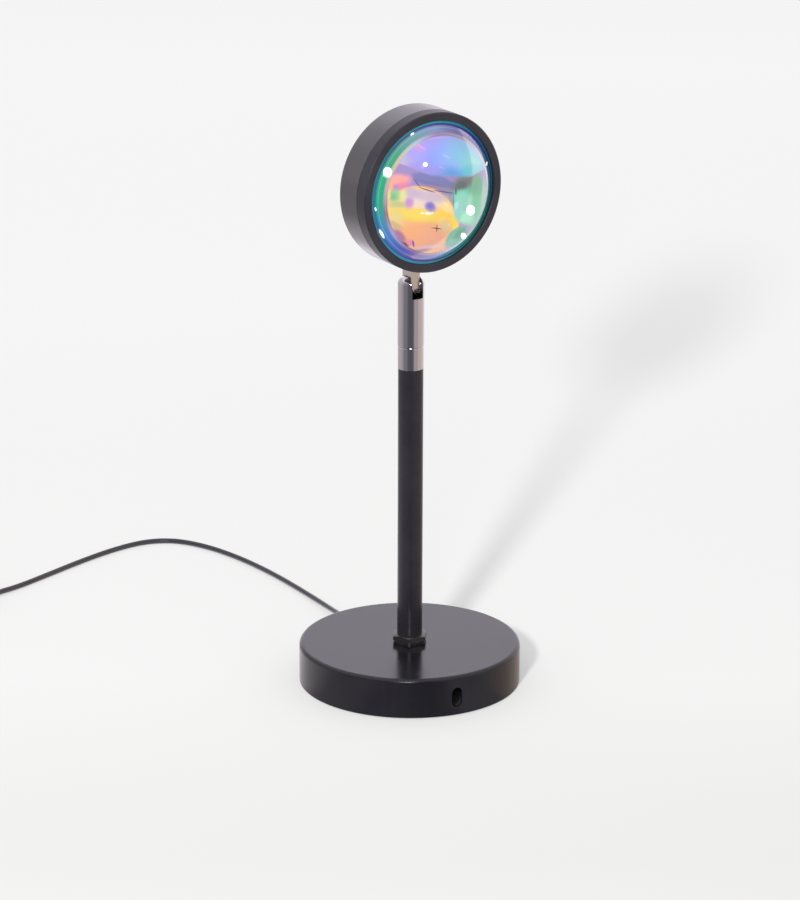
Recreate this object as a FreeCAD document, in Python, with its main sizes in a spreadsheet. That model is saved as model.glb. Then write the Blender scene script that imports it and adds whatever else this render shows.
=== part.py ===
import FreeCAD, Part
import math
import os
import Sketcher

# A sunset projection lamp: a weighted round base, a slim stem with a chrome swivel and tilt
# joint, and a flat round head that holds a strongly curved, colour-coated lens.
# Millimetres, +Z up, origin on the floor under the middle of the base, head facing -Y.

Vector = FreeCAD.Vector

# ---------------------------------------------------------------- driving dimensions

dimensions = [
    # base
    ("base_radius", 55.0), ("base_height", 20.5), ("base_edge", 2.0), ("base_wall", 1.6),
    ("rim_lift", 0.6), ("base_turn", -8.4),
    ("pad_thickness", 1.0), ("pad_inset", 0.6), ("cover_thickness", 2.0), ("cover_gap", 0.1),
    ("weight_thickness", 7.5), ("weight_gap", 0.6), ("weight_bore", 5.3),
    ("notch_width", 9.0), ("notch_depth", 8.0),
    ("slot_width", 5.5), ("slot_length", 10.0), ("slot_height", 9.6),
    ("rebate_depth", 0.6), ("exit_height", 5.0), ("exit_bore", 3.5),
    # stem
    ("stem_radius", 6.25), ("stem_bore", 5.0), ("stem_length", 138.5),
    ("thread_radius", 4.9), ("thread_bore", 3.5), ("thread_grip", 15.0), ("thread_play", 0.3),
    ("nipple_end", 0.2), ("ferrule_grip", 4.0), ("nut_turn", -6.7),
    ("nut_flats", 16.0), ("nut_height", 3.0), ("nut_chamfer", 0.5),
    ("nut_washer_radius", 7.8), ("nut_washer_thickness", 1.0),
    ("lower_nut_flats", 14.0), ("lower_nut_height", 3.0),
    ("washer_radius", 10.0), ("washer_thickness", 1.0),
    # swivel
    ("ferrule_radius", 6.5), ("ferrule_length", 11.3), ("ferrule_web", 3.8), ("running_gap", 0.05),
    ("seam_gap", 0.1), ("spigot_radius", 4.0), ("spigot_length", 6.8), ("lead_bore", 1.2),
    ("ring_thickness", 0.7), ("ring_radius", 4.8), ("ring_groove", 0.5), ("friction_thickness", 0.5),
    ("stop_radius", 0.5), ("stop_centre", 5.25), ("stop_drop", 0.8), ("stop_depth", 1.0),
    ("swivel_range", 170.0), ("stop_margin", 6.0), ("stop_grip", 2.0), ("clip_opening", 2.0),
    ("joint_gap", 0.3),
    # tilt joint
    ("clevis_radius", 6.6), ("clevis_length", 35.3), ("clevis_dome", 4.0),
    ("fork_depth", 10.4), ("fork_width", 6.2), ("fork_back", 3.9),
    ("hinge_drop", 5.0), ("screw_radius", 1.5), ("screw_head_radius", 2.8), ("screw_seat", 0.65),
    ("screw_skin", 1.4), ("screw_tip_gap", 0.2), ("driver_slot", 0.7),
    ("tongue_width", 5.1), ("tongue_depth", 7.4), ("side_washer_thickness", 0.45),
    ("side_washer_radius", 3.5),
    # head
    ("head_radius", 39.4), ("tongue_length", 11.4), ("head_front", 19.3), ("head_depth", 22.9),
    ("front_ring_depth", 7.0), ("head_wall", 1.8), ("back_wall", 2.0), ("back_edge", 1.5),
    ("seam_chamfer", 0.25), ("front_chamfer", 0.5), ("skirt_length", 4.0), ("skirt_gap", 0.1),
    ("skirt_wall", 1.2), ("face_width", 4.2), ("lip_thickness", 2.0), ("opening_chamfer", 0.3),
    ("lens_rim_gap", 0.2), ("lens_rim", 2.0), ("lens_sag", 14.0),
    ("filter_thickness", 0.6), ("gasket_thickness", 0.8), ("gasket_width", 2.9),
    ("reflector_wall", 1.0), ("reflector_flange", 5.5),
    ("pad_boss_radius", 22.0), ("pad_boss_height", 2.2), ("thermal_pad_thickness", 0.4),
    ("board_radius", 20.0), ("board_thickness", 1.6),
    ("emitter_radius", 5.5), ("emitter_base", 1.0), ("emitter_dome", 3.6),
    ("board_screw_circle", 17.2), ("board_screw_radius", 1.25), ("board_screw_head", 2.2),
    ("board_screw_head_height", 1.4), ("board_screw_length", 4.4), ("board_screw_count", 3),
    ("chip_length", 4.0), ("chip_width", 3.0), ("chip_height", 1.1), ("chip_centre", 9.5),
    ("resistor_length", 2.5), ("resistor_width", 1.3), ("resistor_height", 0.5),
    ("stud_radius", 2.5), ("stud_play", 0.05), ("stud_block_width", 12.0), ("stud_block_height", 5.7),
    ("stud_block_front", 5.0),
    # leads, cord and plug
    ("lead_radius", 0.8), ("lead_play", 0.15), ("cord_radius", 1.4), ("inner_bend", 5.0),
    ("relief_flange_radius", 3.9), ("relief_flange", 1.2), ("relief_length", 12.0),
    ("relief_root_radius", 3.0), ("relief_tip_radius", 2.0), ("relief_neck_gap", 0.05),
    ("coil_mean_radius", 15.0), ("coil_pitch", 3.35), ("coil_layers", 4), ("coil_turns_per_layer", 3),
    ("coil_lift", 0.9), ("tie_thickness", 0.5), ("tie_width", 6.0), ("tie_gap", 0.35),
    ("tail_turn", 24.0), ("tail_reach", 62.0),
    ("plug_relief_length", 8.0), ("plug_relief_tip", 1.9), ("plug_relief_root", 3.1),
    ("plug_length", 20.0), ("plug_width", 13.0), ("plug_height", 7.4), ("plug_edge", 1.6),
    ("usb_length", 12.0), ("usb_width", 12.0), ("usb_height", 4.5), ("usb_wall", 0.3),
    ("insert_length", 11.0), ("insert_height", 1.9), ("contact_width", 1.0), ("contact_length", 8.0),
    ("contact_height", 0.2), ("contact_pitch", 2.3), ("contact_count", 4),
]

document = FreeCAD.newDocument("SunsetLamp")
sheet = document.addObject("Spreadsheet::Sheet", "Sizes")
size = dict(dimensions)
for row, (alias, value) in enumerate(dimensions, start=1):
    sheet.set("A%d" % row, alias)
    sheet.set("B%d" % row, repr(value))
    sheet.setAlias("B%d" % row, alias)
document.recompute()

# Heights and places that follow from the driving dimensions. Each is a formula of the sheet, so
# every object bound to it follows a changed size.
derived = [
    ("shell_inner", "base_radius - base_wall"),
    ("shell_roof", "base_height - base_wall"),
    ("rebate_radius", "shell_inner + rebate_depth"),
    ("cover_top", "pad_thickness + cover_thickness"),
    ("weight_bottom", "shell_roof - weight_thickness"),
    ("washer_bottom", "weight_bottom - washer_thickness"),
    ("lower_nut_bottom", "washer_bottom - lower_nut_height"),
    ("nut_bottom", "base_height + nut_washer_thickness"),
    ("stem_bottom", "nut_bottom + nut_height"),
    ("stem_top", "stem_bottom + stem_length"),
    ("ferrule_top", "stem_top + ferrule_length"),
    ("web_bottom", "ferrule_top - ferrule_web"),
    ("clevis_bottom", "ferrule_top + seam_gap"),
    ("clevis_top", "clevis_bottom + clevis_length"),
    ("spigot_bottom", "clevis_bottom - spigot_length"),
    ("friction_bottom", "web_bottom - running_gap - friction_thickness"),
    ("ring_bottom", "friction_bottom - running_gap - ring_thickness"),
    ("fork_floor", "clevis_top - fork_depth"),
    ("hinge_height", "clevis_top - hinge_drop"),
    ("tongue_end", "tongue_depth / 2"),
    ("groove_radius", "tongue_end - lead_radius"),
    ("tongue_top", "hinge_height + tongue_length"),
    ("head_height", "tongue_top + head_radius"),
    ("opening_radius", "head_radius - face_width"),
    ("bore_radius", "head_radius - head_wall"),
    ("back_face", "head_front - head_depth"),
    ("inner_back", "back_face + back_wall"),
    ("seam_place", "head_front - front_ring_depth"),
    ("skirt_outer", "bore_radius - skirt_gap"),
    ("skirt_inner", "skirt_outer - skirt_wall"),
    ("skirt_end", "seam_place - skirt_length"),
    ("lens_seat", "head_front - lip_thickness"),
    ("lens_back", "lens_seat - lens_rim"),
    ("lens_radius", "skirt_inner - lens_rim_gap"),
    ("dome_radius", "opening_radius - lens_rim_gap"),
    ("ball_radius", "(dome_radius * dome_radius + lens_sag * lens_sag) / (2 * lens_sag)"),
    ("filter_back", "lens_back - filter_thickness"),
    ("gasket_back", "filter_back - gasket_thickness"),
    ("gasket_inner", "lens_radius - gasket_width"),
    ("boss_face", "inner_back + pad_boss_height"),
    ("board_back", "boss_face + thermal_pad_thickness"),
    ("board_face", "board_back + board_thickness"),
    ("flange_inner", "board_radius - reflector_flange"),
    ("stud_top", "tongue_top + head_wall + stud_block_height"),
    ("relief_tip", "base_radius + relief_length"),
]
for row, (alias, formula) in enumerate(derived, start=len(dimensions) + 1):
    sheet.set("A%d" % row, alias)
    sheet.set("B%d" % row, "=" + formula)
    sheet.setAlias("B%d" % row, alias)
document.recompute()
for alias, _ in derived:
    size[alias] = float(sheet.get(alias))

nodes = []


def bound(formula):
    """Turn words of the sheet into an expression that names the sheet."""
    words = formula.replace("(", "( ").replace(")", " )").split()
    return " ".join("Sizes." + word if word in size else word for word in words)


def worth(formula):
    """The present value of a formula of the sheet's words."""
    words = formula.replace("(", "( ").replace(")", " )").split()
    return float(FreeCAD.Units.Quantity(" ".join(repr(float(size[w])) if w in size else w for w in words)))


def bind(thing, **properties):
    for name, formula in properties.items():
        thing.setExpression(name, bound(formula))
    return thing


def keep(thing, label):
    """List a finished sub-part under the name of its file."""
    thing.Label = label
    nodes.append(thing)
    return thing


# ---------------------------------------------------------------- ways of making a piece

def new_body(label, turn=None, forward=False):
    """A body on the lamp's axis or, when forward, one whose own Z runs out of the head's face."""
    body = document.addObject("PartDesign::Body", "Body_" + label)
    if forward:
        face_forward(body)
    if turn:
        turn_about_stem(body, turn)
    return body


def face_forward(thing, front="0", rise="0"):
    """Stand a piece on the head's axis, with its own Z towards the front and its own Y up."""
    thing.Placement = FreeCAD.Placement(Vector(), FreeCAD.Rotation(Vector(1, 0, 0), 90))
    return bind(thing, **{"Placement.Base.y": "0 - (" + front + ")",
                          "Placement.Base.z": "head_height + (" + rise + ")"})


def turn_about_stem(thing, turn):
    """Turn a piece about the lamp's axis by an angle of the sheet."""
    thing.Placement = FreeCAD.Placement(Vector(), FreeCAD.Rotation(Vector(0, 0, 1), 1))
    return bind(thing, **{"Placement.Rotation.Angle": turn})


def lie_along_x(thing, start, height):
    """Lay a cylinder or cone with its own Z along +X, from a place on X, at a height."""
    thing.Placement = FreeCAD.Placement(Vector(), FreeCAD.Rotation(Vector(0, 1, 0), 90))
    return bind(thing, **{"Placement.Base.x": start, "Placement.Base.z": height})


def new_sketch(body, plane, name, lift=None):
    """A sketch on one of the body's own origin planes, lifted along its normal."""
    sketch = body.newObject("Sketcher::SketchObject", name + "_" + body.Name)
    support = [feature for feature in body.Origin.OriginFeatures if feature.Role == plane][0]
    sketch.AttachmentSupport = [(support, "")]
    sketch.MapMode = "FlatFace"
    if lift:
        sketch.setExpression("AttachmentOffset.Base.z", bound(lift))
    return sketch


def place_point(sketch, geometry, position, across, along):
    """Tie a point of the sketch to the origin by its two coordinates."""
    for kind, formula in (("DistanceX", across), ("DistanceY", along)):
        number = sketch.addConstraint(
            Sketcher.Constraint(kind, -1, 1, geometry, position, worth(formula)))
        sketch.setExpression("Constraints[%d]" % number, bound(formula))


def draw_outline(sketch, corners):
    """A closed outline of straight sides through corners given as formulas."""
    points = [Vector(worth(across), worth(along), 0) for across, along in corners]
    count = len(points)
    for number in range(count):
        sketch.addGeometry(Part.LineSegment(points[number], points[(number + 1) % count]))
    for number in range(count):
        sketch.addConstraint(Sketcher.Constraint("Coincident", number, 2, (number + 1) % count, 1))
    for number, (across, along) in enumerate(corners):
        place_point(sketch, number, 1, across, along)


def draw_circle(sketch, radius, across="0", along="0"):
    centre = Vector(worth(across), worth(along), 0)
    number = sketch.addGeometry(Part.Circle(centre, Vector(0, 0, 1), worth(radius)))
    tie = sketch.addConstraint(Sketcher.Constraint("Radius", number, worth(radius)))
    sketch.setExpression("Constraints[%d]" % tie, bound(radius))
    place_point(sketch, number, 3, across, along)


def draw_slot(sketch, width, length, across, along):
    """An upright slot with round ends, centred on a point."""
    half_width, half_straight = width + " / 2", "(" + length + " - " + width + ") / 2"
    left, right = across + " - " + half_width, across + " + " + half_width
    low, high = along + " - " + half_straight, along + " + " + half_straight
    points = {key: Vector(worth(x), worth(y), 0) for key, (x, y) in {
        "left low": (left, low), "left high": (left, high),
        "right low": (right, low), "right high": (right, high),
        "low": (across, low), "high": (across, high)}.items()}
    sketch.addGeometry(Part.LineSegment(points["left low"], points["left high"]))
    sketch.addGeometry(Part.LineSegment(points["right high"], points["right low"]))
    radius = worth(half_width)
    for centre, begin in (("high", 0), ("low", math.pi)):
        circle = Part.Circle(points[centre], Vector(0, 0, 1), radius)
        sketch.addGeometry(Part.ArcOfCircle(circle, begin, begin + math.pi))
    for one, one_end, other, other_end in ((0, 2, 2, 2), (1, 1, 2, 1), (1, 2, 3, 2), (0, 1, 3, 1)):
        sketch.addConstraint(Sketcher.Constraint("Coincident", one, one_end, other, other_end))
    for number, position, x, y in ((0, 1, left, low), (0, 2, left, high), (1, 1, right, high),
                                   (1, 2, right, low)):
        place_point(sketch, number, position, x, y)
    for number, level in ((2, high), (3, low)):
        tie = sketch.addConstraint(Sketcher.Constraint("DistanceY", -1, 1, number, 3, worth(level)))
        sketch.setExpression("Constraints[%d]" % tie, bound(level))


def revolve(body, corners, name="Turned"):
    """Turn an outline of (radius, height) corners about the body's own Z axis."""
    sketch = new_sketch(body, "XZ_Plane", name + "Outline")
    draw_outline(sketch, corners)
    turned = body.newObject("PartDesign::Revolution", name + "_" + body.Name)
    turned.Profile = sketch
    turned.ReferenceAxis = (sketch, ["V_Axis"])
    turned.Angle = 360
    document.recompute()
    return turned


def pad(body, sketch, length, both_ways=False):
    feature = body.newObject("PartDesign::Pad", "Pad_" + sketch.Name)
    feature.Profile = sketch
    feature.Midplane = both_ways
    bind(feature, Length=length)
    document.recompute()
    return feature


def pocket(body, sketch, length=None, reverse=False, both_ways=False):
    """Cut a sketch out of the body and make sure that something came away."""
    before = body.Shape.Volume
    feature = body.newObject("PartDesign::Pocket", "Pocket_" + sketch.Name)
    feature.Profile = sketch
    feature.Reversed = reverse
    feature.Midplane = both_ways
    if length:
        bind(feature, Length=length)
    else:
        feature.Type = "ThroughAll"
    document.recompute()
    assert body.Shape.Volume < before - 1e-6, "nothing was cut by " + feature.Name
    return feature


def edges_at(shape, test):
    """Names of the edges whose middle point passes the test."""
    names = []
    for number, edge in enumerate(shape.Edges, start=1):
        middle = edge.valueAt((edge.FirstParameter + edge.LastParameter) / 2)
        if test(edge, middle):
            names.append("Edge%d" % number)
    return names


def soften(body, kind, feature, amount, test):
    """Fillet or chamfer the edges that pass the test, which reads them in the body's own frame."""
    dressed = body.newObject("PartDesign::" + kind, kind + "_" + feature.Name)
    dressed.Base = (feature, edges_at(feature.Shape, test))
    bind(dressed, **{"Radius" if kind == "Fillet" else "Size": amount})
    document.recompute()
    return dressed


def ring_edge(radius, height):
    """A test for a full circle of a given radius at a given height."""
    def test(edge, middle):
        return (isinstance(edge.Curve, Part.Circle) and abs(edge.Curve.Radius - radius) < 0.01
                and abs(edge.Curve.Center.z - height) < 0.01)
    return test


def cylinder(name, radius, height, **placement):
    thing = document.addObject("Part::Cylinder", name)
    bind(thing, Radius=radius, Height=height)
    bind(thing, **{"Placement.Base." + axis: formula for axis, formula in placement.items()})
    return thing


def box(name, length, width, height, **placement):
    """A box centred on its X and Y place and standing on its Z place."""
    thing = document.addObject("Part::Box", name)
    bind(thing, Length=length, Width=width, Height=height)
    centre = {"x": "(" + placement.get("x", "0") + ") - (" + length + ") / 2",
              "y": "(" + placement.get("y", "0") + ") - (" + width + ") / 2",
              "z": placement.get("z", "0")}
    bind(thing, **{"Placement.Base." + axis: formula for axis, formula in centre.items()})
    return thing


def cut(name, base, *tools):
    thing = document.addObject("Part::Cut", name)
    thing.Base = base
    if len(tools) == 1:
        thing.Tool = tools[0]
    else:
        joined = document.addObject("Part::MultiFuse", name + "_tools")
        joined.Shapes = list(tools)
        thing.Tool = joined
    document.recompute()
    assert thing.Shape.Volume < base.Shape.Volume - 1e-6, "nothing was cut by " + name
    return thing


def common(name, base, tool):
    thing = document.addObject("Part::Common", name)
    thing.Base = base
    thing.Tool = tool
    return thing


def fuse(name, *pieces):
    thing = document.addObject("Part::MultiFuse", name)
    thing.Shapes = list(pieces)
    return thing


def washer(label, outer, inner, thickness, bottom):
    """A flat ring on the lamp's axis."""
    return keep(cut(label, cylinder(label + "_disc", outer, thickness, z=bottom),
                    cylinder(label + "_hole", inner, thickness, z=bottom)), label)


def pipe(label, outer, inner, bottom, top):
    """A tube on the lamp's axis between two heights."""
    length = "(" + top + ") - (" + bottom + ")"
    return keep(cut(label, cylinder(label + "_rod", outer, length, z=bottom),
                    cylinder(label + "_bore", inner, length, z=bottom)), label)


def hex_nut(label, flats, height, bottom, turn):
    """A hexagon nut with its corners bevelled top and bottom, as turned stock is."""
    prism = document.addObject("Part::Prism", label + "_hexagon")
    prism.Polygon = 6
    prism.Placement = FreeCAD.Placement(Vector(), FreeCAD.Rotation(Vector(0, 0, 1), turn))
    bind(prism, Circumradius=flats + " / sqrt(3)", Height=height)
    bind(prism, **{"Placement.Base.z": bottom})
    blank = new_body(label + "_blank")
    flat, corner = flats + " / 2", flats + " / 2 + 2 * nut_chamfer + 1"
    rise = "nut_chamfer + 0.5"
    revolve(blank, [("stem_bore", bottom), (flat, bottom), (corner, bottom + " + " + rise),
                    (corner, bottom + " + " + height + " - (" + rise + ")"),
                    (flat, bottom + " + " + height), ("stem_bore", bottom + " + " + height)])
    return keep(common(label, prism, blank), label)


def feature(label, shape, placement=None):
    """A sub-part whose shape is worked out below, from the sheet's values."""
    thing = document.addObject("Part::Feature", "Shape_" + label)
    thing.Shape = shape
    if placement:
        thing.Placement = placement
    return keep(thing, label)


# ---------------------------------------------------------------- base

shell = new_body("base_shell", turn="base_turn")
hole = "thread_radius + thread_play"
shell_turned = revolve(shell, [
    (hole, "shell_roof"), ("shell_inner", "shell_roof"), ("shell_inner", "cover_top"),
    ("rebate_radius", "cover_top"), ("rebate_radius", "rim_lift"), ("base_radius", "rim_lift"),
    ("base_radius", "base_height"), (hole, "base_height")])
soften(shell, "Fillet", shell_turned, "base_edge", ring_edge(size["base_radius"], size["base_height"]))
slot = new_sketch(shell, "XZ_Plane", "Slot")
draw_slot(slot, "slot_width", "slot_length", "0", "slot_height")
pocket(shell, slot, length="base_radius + 1", reverse=True)
cord_hole = new_sketch(shell, "XZ_Plane", "CordHole")
draw_circle(cord_hole, "exit_bore", "0", "exit_height")
pocket(shell, cord_hole, length="base_radius + 1")
keep(shell, "base_shell")

weight_disc = cylinder("weight_disc", "shell_inner - weight_gap", "weight_thickness", z="weight_bottom")
weight_hole = cylinder("weight_hole", "weight_bore", "weight_thickness", z="weight_bottom")
weight_notch = box("weight_notch", "notch_width", "2 * notch_depth", "weight_thickness",
                   y="0 - shell_inner", z="weight_bottom")
keep(turn_about_stem(cut("base_weight", weight_disc, weight_hole, weight_notch), "base_turn"), "base_weight")

cover_disc = cylinder("cover_disc", "rebate_radius - cover_gap", "cover_thickness", z="pad_thickness")
cover_notch = box("cover_notch", "2 * (relief_flange_radius + joint_gap)", "4 * relief_flange",
                  "cover_thickness", y="shell_inner + relief_flange / 2", z="pad_thickness")
keep(turn_about_stem(cut("bottom_cover", cover_disc, cover_notch), "base_turn"), "bottom_cover")
keep(cylinder("foot_pad", "rebate_radius - cover_gap - pad_inset", "pad_thickness"), "foot_pad")

washer("base_washer", "washer_radius", hole, "washer_thickness", "washer_bottom")
hex_nut("base_nut", "lower_nut_flats", "lower_nut_height", "lower_nut_bottom", 0)
washer("nut_washer", "nut_washer_radius", hole, "nut_washer_thickness", "base_height")
hex_nut("stem_nut", "nut_flats", "nut_height", "nut_bottom", size["nut_turn"])

# ---------------------------------------------------------------- stem

pipe("base_nipple", "thread_radius", "thread_bore", "lower_nut_bottom - nipple_end",
     "stem_bottom + thread_grip")
pipe("stem_tube", "stem_radius", "stem_bore", "stem_bottom", "stem_top")
pipe("top_nipple", "thread_radius", "thread_bore", "stem_top - thread_grip", "stem_top + ferrule_grip")

# ---------------------------------------------------------------- swivel

ferrule = new_body("swivel_ferrule")
web_hole = "spigot_radius + running_gap"
ferrule_turned = revolve(ferrule, [
    (web_hole, "web_bottom"), ("stem_bore", "web_bottom"), ("stem_bore", "stem_top"),
    ("ferrule_radius", "stem_top"), ("ferrule_radius", "ferrule_top"), (web_hole, "ferrule_top")])
soften(ferrule, "Chamfer", ferrule_turned, "seam_chamfer",
       ring_edge(size["ferrule_radius"], size["ferrule_top"]))
stop_outer = cylinder("stop_track_outer", "stop_centre + stop_radius + running_gap", "stop_depth + 1",
                      z="ferrule_top - stop_depth")
stop_inner = cylinder("stop_track_inner", "stop_centre - stop_radius - running_gap", "stop_depth + 1",
                      z="ferrule_top - stop_depth")
bind(stop_outer, Angle="2 * (swivel_range + stop_margin)")
stop_track = cut("stop_track", stop_outer, stop_inner)
stop_track.Placement = FreeCAD.Placement(Vector(), FreeCAD.Rotation(Vector(0, 0, 1), 1))
bind(stop_track, **{"Placement.Rotation.Angle": "270 - swivel_range - stop_margin"})
keep(cut("swivel_ferrule", ferrule, stop_track), "swivel_ferrule")

clevis = new_body("swivel_clevis")
neck = "spigot_radius - ring_groove"
clevis_turned = revolve(clevis, [
    ("lead_bore", "spigot_bottom"), ("spigot_radius", "spigot_bottom"), ("spigot_radius", "ring_bottom"),
    (neck, "ring_bottom"), (neck, "ring_bottom + ring_thickness"),
    ("spigot_radius", "ring_bottom + ring_thickness"), ("spigot_radius", "clevis_bottom"),
    ("clevis_radius", "clevis_bottom"), ("clevis_radius", "clevis_top"), ("lead_bore", "clevis_top")])
clevis_edged = soften(clevis, "Chamfer", clevis_turned, "seam_chamfer",
                      ring_edge(size["clevis_radius"], size["clevis_bottom"]))
soften(clevis, "Fillet", clevis_edged, "clevis_dome", ring_edge(size["clevis_radius"], size["clevis_top"]))
fork = new_sketch(clevis, "YZ_Plane", "Fork")
draw_outline(fork, [("0 - clevis_radius - 1", "fork_floor"), ("fork_back", "fork_floor"),
                    ("fork_back", "clevis_top + 1"), ("0 - clevis_radius - 1", "clevis_top + 1")])
pocket(clevis, fork, length="fork_width", both_ways=True)
stop_hole = cylinder("stop_hole", "stop_radius", "stop_grip", y="0 - stop_centre", z="clevis_bottom")
screw_hole = lie_along_x(cylinder("screw_hole", "screw_radius", "2 * clevis_radius"),
                         "screw_skin - clevis_radius - screw_tip_gap", "hinge_height")
screw_sink = document.addObject("Part::Cone", "screw_sink")
bind(screw_sink, Radius1="screw_radius", Radius2="screw_head_radius",
     Height="screw_head_radius - screw_radius")
lie_along_x(screw_sink, "clevis_radius - screw_seat - (screw_head_radius - screw_radius)", "hinge_height")
screw_mouth = lie_along_x(cylinder("screw_mouth", "screw_head_radius", "clevis_radius"),
                          "clevis_radius - screw_seat", "hinge_height")
keep(cut("swivel_clevis", clevis, stop_hole, screw_hole, screw_sink, screw_mouth), "swivel_clevis")

washer("swivel_washer", "ring_radius", web_hole, "friction_thickness", "friction_bottom")
clip_disc = cylinder("clip_disc", "ring_radius", "ring_thickness", z="ring_bottom")
clip_hole = cylinder("clip_hole", neck, "ring_thickness", z="ring_bottom")
clip_gap = box("clip_gap", "clip_opening", "2 * ring_radius", "ring_thickness", y="ring_radius",
               z="ring_bottom")
keep(cut("swivel_clip", clip_disc, clip_hole, clip_gap), "swivel_clip")
keep(cylinder("stop_pin", "stop_radius", "stop_drop + stop_grip", y="0 - stop_centre",
              z="clevis_bottom - stop_drop"), "swivel_stop_pin")

# ---------------------------------------------------------------- tilt joint

screw_shaft = lie_along_x(
    cylinder("screw_shaft", "screw_radius", "2 * clevis_radius - screw_skin - screw_seat"),
    "screw_skin - clevis_radius", "hinge_height")
screw_cone = document.addObject("Part::Cone", "screw_cone")
bind(screw_cone, Radius1="screw_radius", Radius2="screw_head_radius",
     Height="screw_head_radius - screw_radius")
lie_along_x(screw_cone, "clevis_radius - screw_seat - (screw_head_radius - screw_radius)", "hinge_height")
screw_slot = box("screw_slot", "2 * driver_slot", "3 * screw_head_radius", "driver_slot",
                 x="clevis_radius - screw_seat", z="hinge_height - driver_slot / 2")
keep(cut("hinge_screw", fuse("screw_blank", screw_shaft, screw_cone), screw_slot), "hinge_screw")

side_washers = []
for side, name in ((-1, "left"), (1, "right")):
    middle = "%d * (tongue_width + fork_width) / 4 - side_washer_thickness / 2" % side
    disc = lie_along_x(cylinder("side_disc_" + name, "side_washer_radius", "side_washer_thickness"),
                       middle, "hinge_height")
    bore = lie_along_x(cylinder("side_bore_" + name, "screw_radius", "side_washer_thickness"),
                       middle, "hinge_height")
    side_washers.append(cut("side_washer_" + name, disc, bore))
keep(fuse("friction_washers", *side_washers), "friction_washers")


def tube(path, radius):
    """A round tube along a path of edges that run into each other without a corner."""
    wire = Part.Wire(path)
    start = wire.Edges[0]
    ring = Part.Wire(Part.makeCircle(radius, start.valueAt(start.FirstParameter),
                                     start.tangentAt(start.FirstParameter)))
    shell_maker = Part.BRepOffsetAPI.MakePipeShell(wire)
    shell_maker.add(ring)
    shell_maker.build()
    shell_maker.makeSolid()
    solid = shell_maker.shape()
    expected = math.pi * radius ** 2 * wire.Length
    assert abs(solid.Volume - expected) < 0.01 * expected, "a tube lost its section"
    return solid


def line(start, end):
    return Part.LineSegment(start, end).toShape()


def arc(start, middle, end):
    return Part.Arc(start, middle, end).toShape()


def side_step(start, end, way):
    """Two equal arcs that leave one point and reach another along the same direction."""
    span = end - start
    run = span.dot(way)
    across = span - way * run
    turn = 2 * math.atan(across.Length / run)
    radius = run / 2 / math.sin(turn)
    half = way * (radius * math.sin(turn / 2)) + across.normalize() * (radius * (1 - math.cos(turn / 2)))
    middle = (start + end) * 0.5
    return [arc(start, start + half, middle), arc(middle, end - half, end)]


def head_lead_path():
    """Round the tongue's end, up its back, through its stud and over to the edge of the board."""
    upward = Vector(0, 0, 1)
    hinge, reach = size["hinge_height"], size["groove_radius"]
    diagonal = reach * math.sqrt(0.5)
    board_middle = -(size["board_back"] + size["board_face"]) / 2
    board_edge = size["head_height"] - size["board_radius"]
    back_top = hinge + reach
    centred = size["tongue_top"] - size["stud_radius"]
    stud_top = size["stud_top"]
    shifted = (stud_top + board_edge) / 2 + reach
    path = [arc(Vector(0, 0, hinge - reach), Vector(0, diagonal, hinge - diagonal), Vector(0, reach, hinge)),
            line(Vector(0, reach, hinge), Vector(0, reach, back_top))]
    path += side_step(Vector(0, reach, back_top), Vector(0, 0, centred), upward)
    path.append(line(Vector(0, 0, centred), Vector(0, 0, stud_top)))
    path += side_step(Vector(0, 0, stud_top), Vector(0, board_middle, shifted), upward)
    path.append(line(Vector(0, board_middle, shifted), Vector(0, board_middle, board_edge)))
    return path


lead_hole = document.addObject("Part::Feature", "lead_hole")
lead_hole.Shape = tube(head_lead_path(), size["lead_radius"] + size["lead_play"])
tongue_bar = box("tongue_bar", "tongue_width", "tongue_depth", "tongue_top - hinge_height", z="hinge_height")
tongue_round = lie_along_x(cylinder("tongue_round", "tongue_end", "tongue_width"), "0 - tongue_width / 2",
                           "hinge_height")
tongue_stud = cylinder("tongue_stud", "stud_radius", "stud_top - tongue_top", z="tongue_top")
tongue_hole = lie_along_x(cylinder("tongue_hole", "screw_radius + running_gap", "tongue_width"),
                          "0 - tongue_width / 2", "hinge_height")
groove_width = "2 * (lead_radius + lead_play)"
groove_round = lie_along_x(cylinder("groove_round", "tongue_depth", groove_width),
                           "0 - (lead_radius + lead_play)", "hinge_height")
groove_core = lie_along_x(cylinder("groove_core", "groove_radius", groove_width),
                          "0 - (lead_radius + lead_play)", "hinge_height")
groove_quarter = box("groove_quarter", "tongue_width", "tongue_depth", "tongue_depth", y="tongue_end",
                     z="hinge_height - tongue_depth")
groove_bend = common("groove_bend", cut("groove_ring", groove_round, groove_core), groove_quarter)
groove_back = box("groove_back", groove_width, "tongue_depth", "groove_radius",
                  y="groove_radius + tongue_end", z="hinge_height")
keep(cut("head_tongue", fuse("tongue_blank", tongue_bar, tongue_round, tongue_stud),
         tongue_hole, groove_bend, groove_back, lead_hole), "head_tongue")

# ---------------------------------------------------------------- head


def screw_ring(name, radius, length, start):
    """Equal cylinders on the circle of the board screws, in the head's own frame."""
    count = size["board_screw_count"]
    pieces = []
    for number in range(count):
        turn = "(90 + %d * 360 / board_screw_count)" % number
        pieces.append(cylinder("%s_%d" % (name, number), radius, length,
                               x="board_screw_circle * cos(" + turn + ")",
                               y="board_screw_circle * sin(" + turn + ")", z=start))
    return fuse(name, *pieces)


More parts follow.
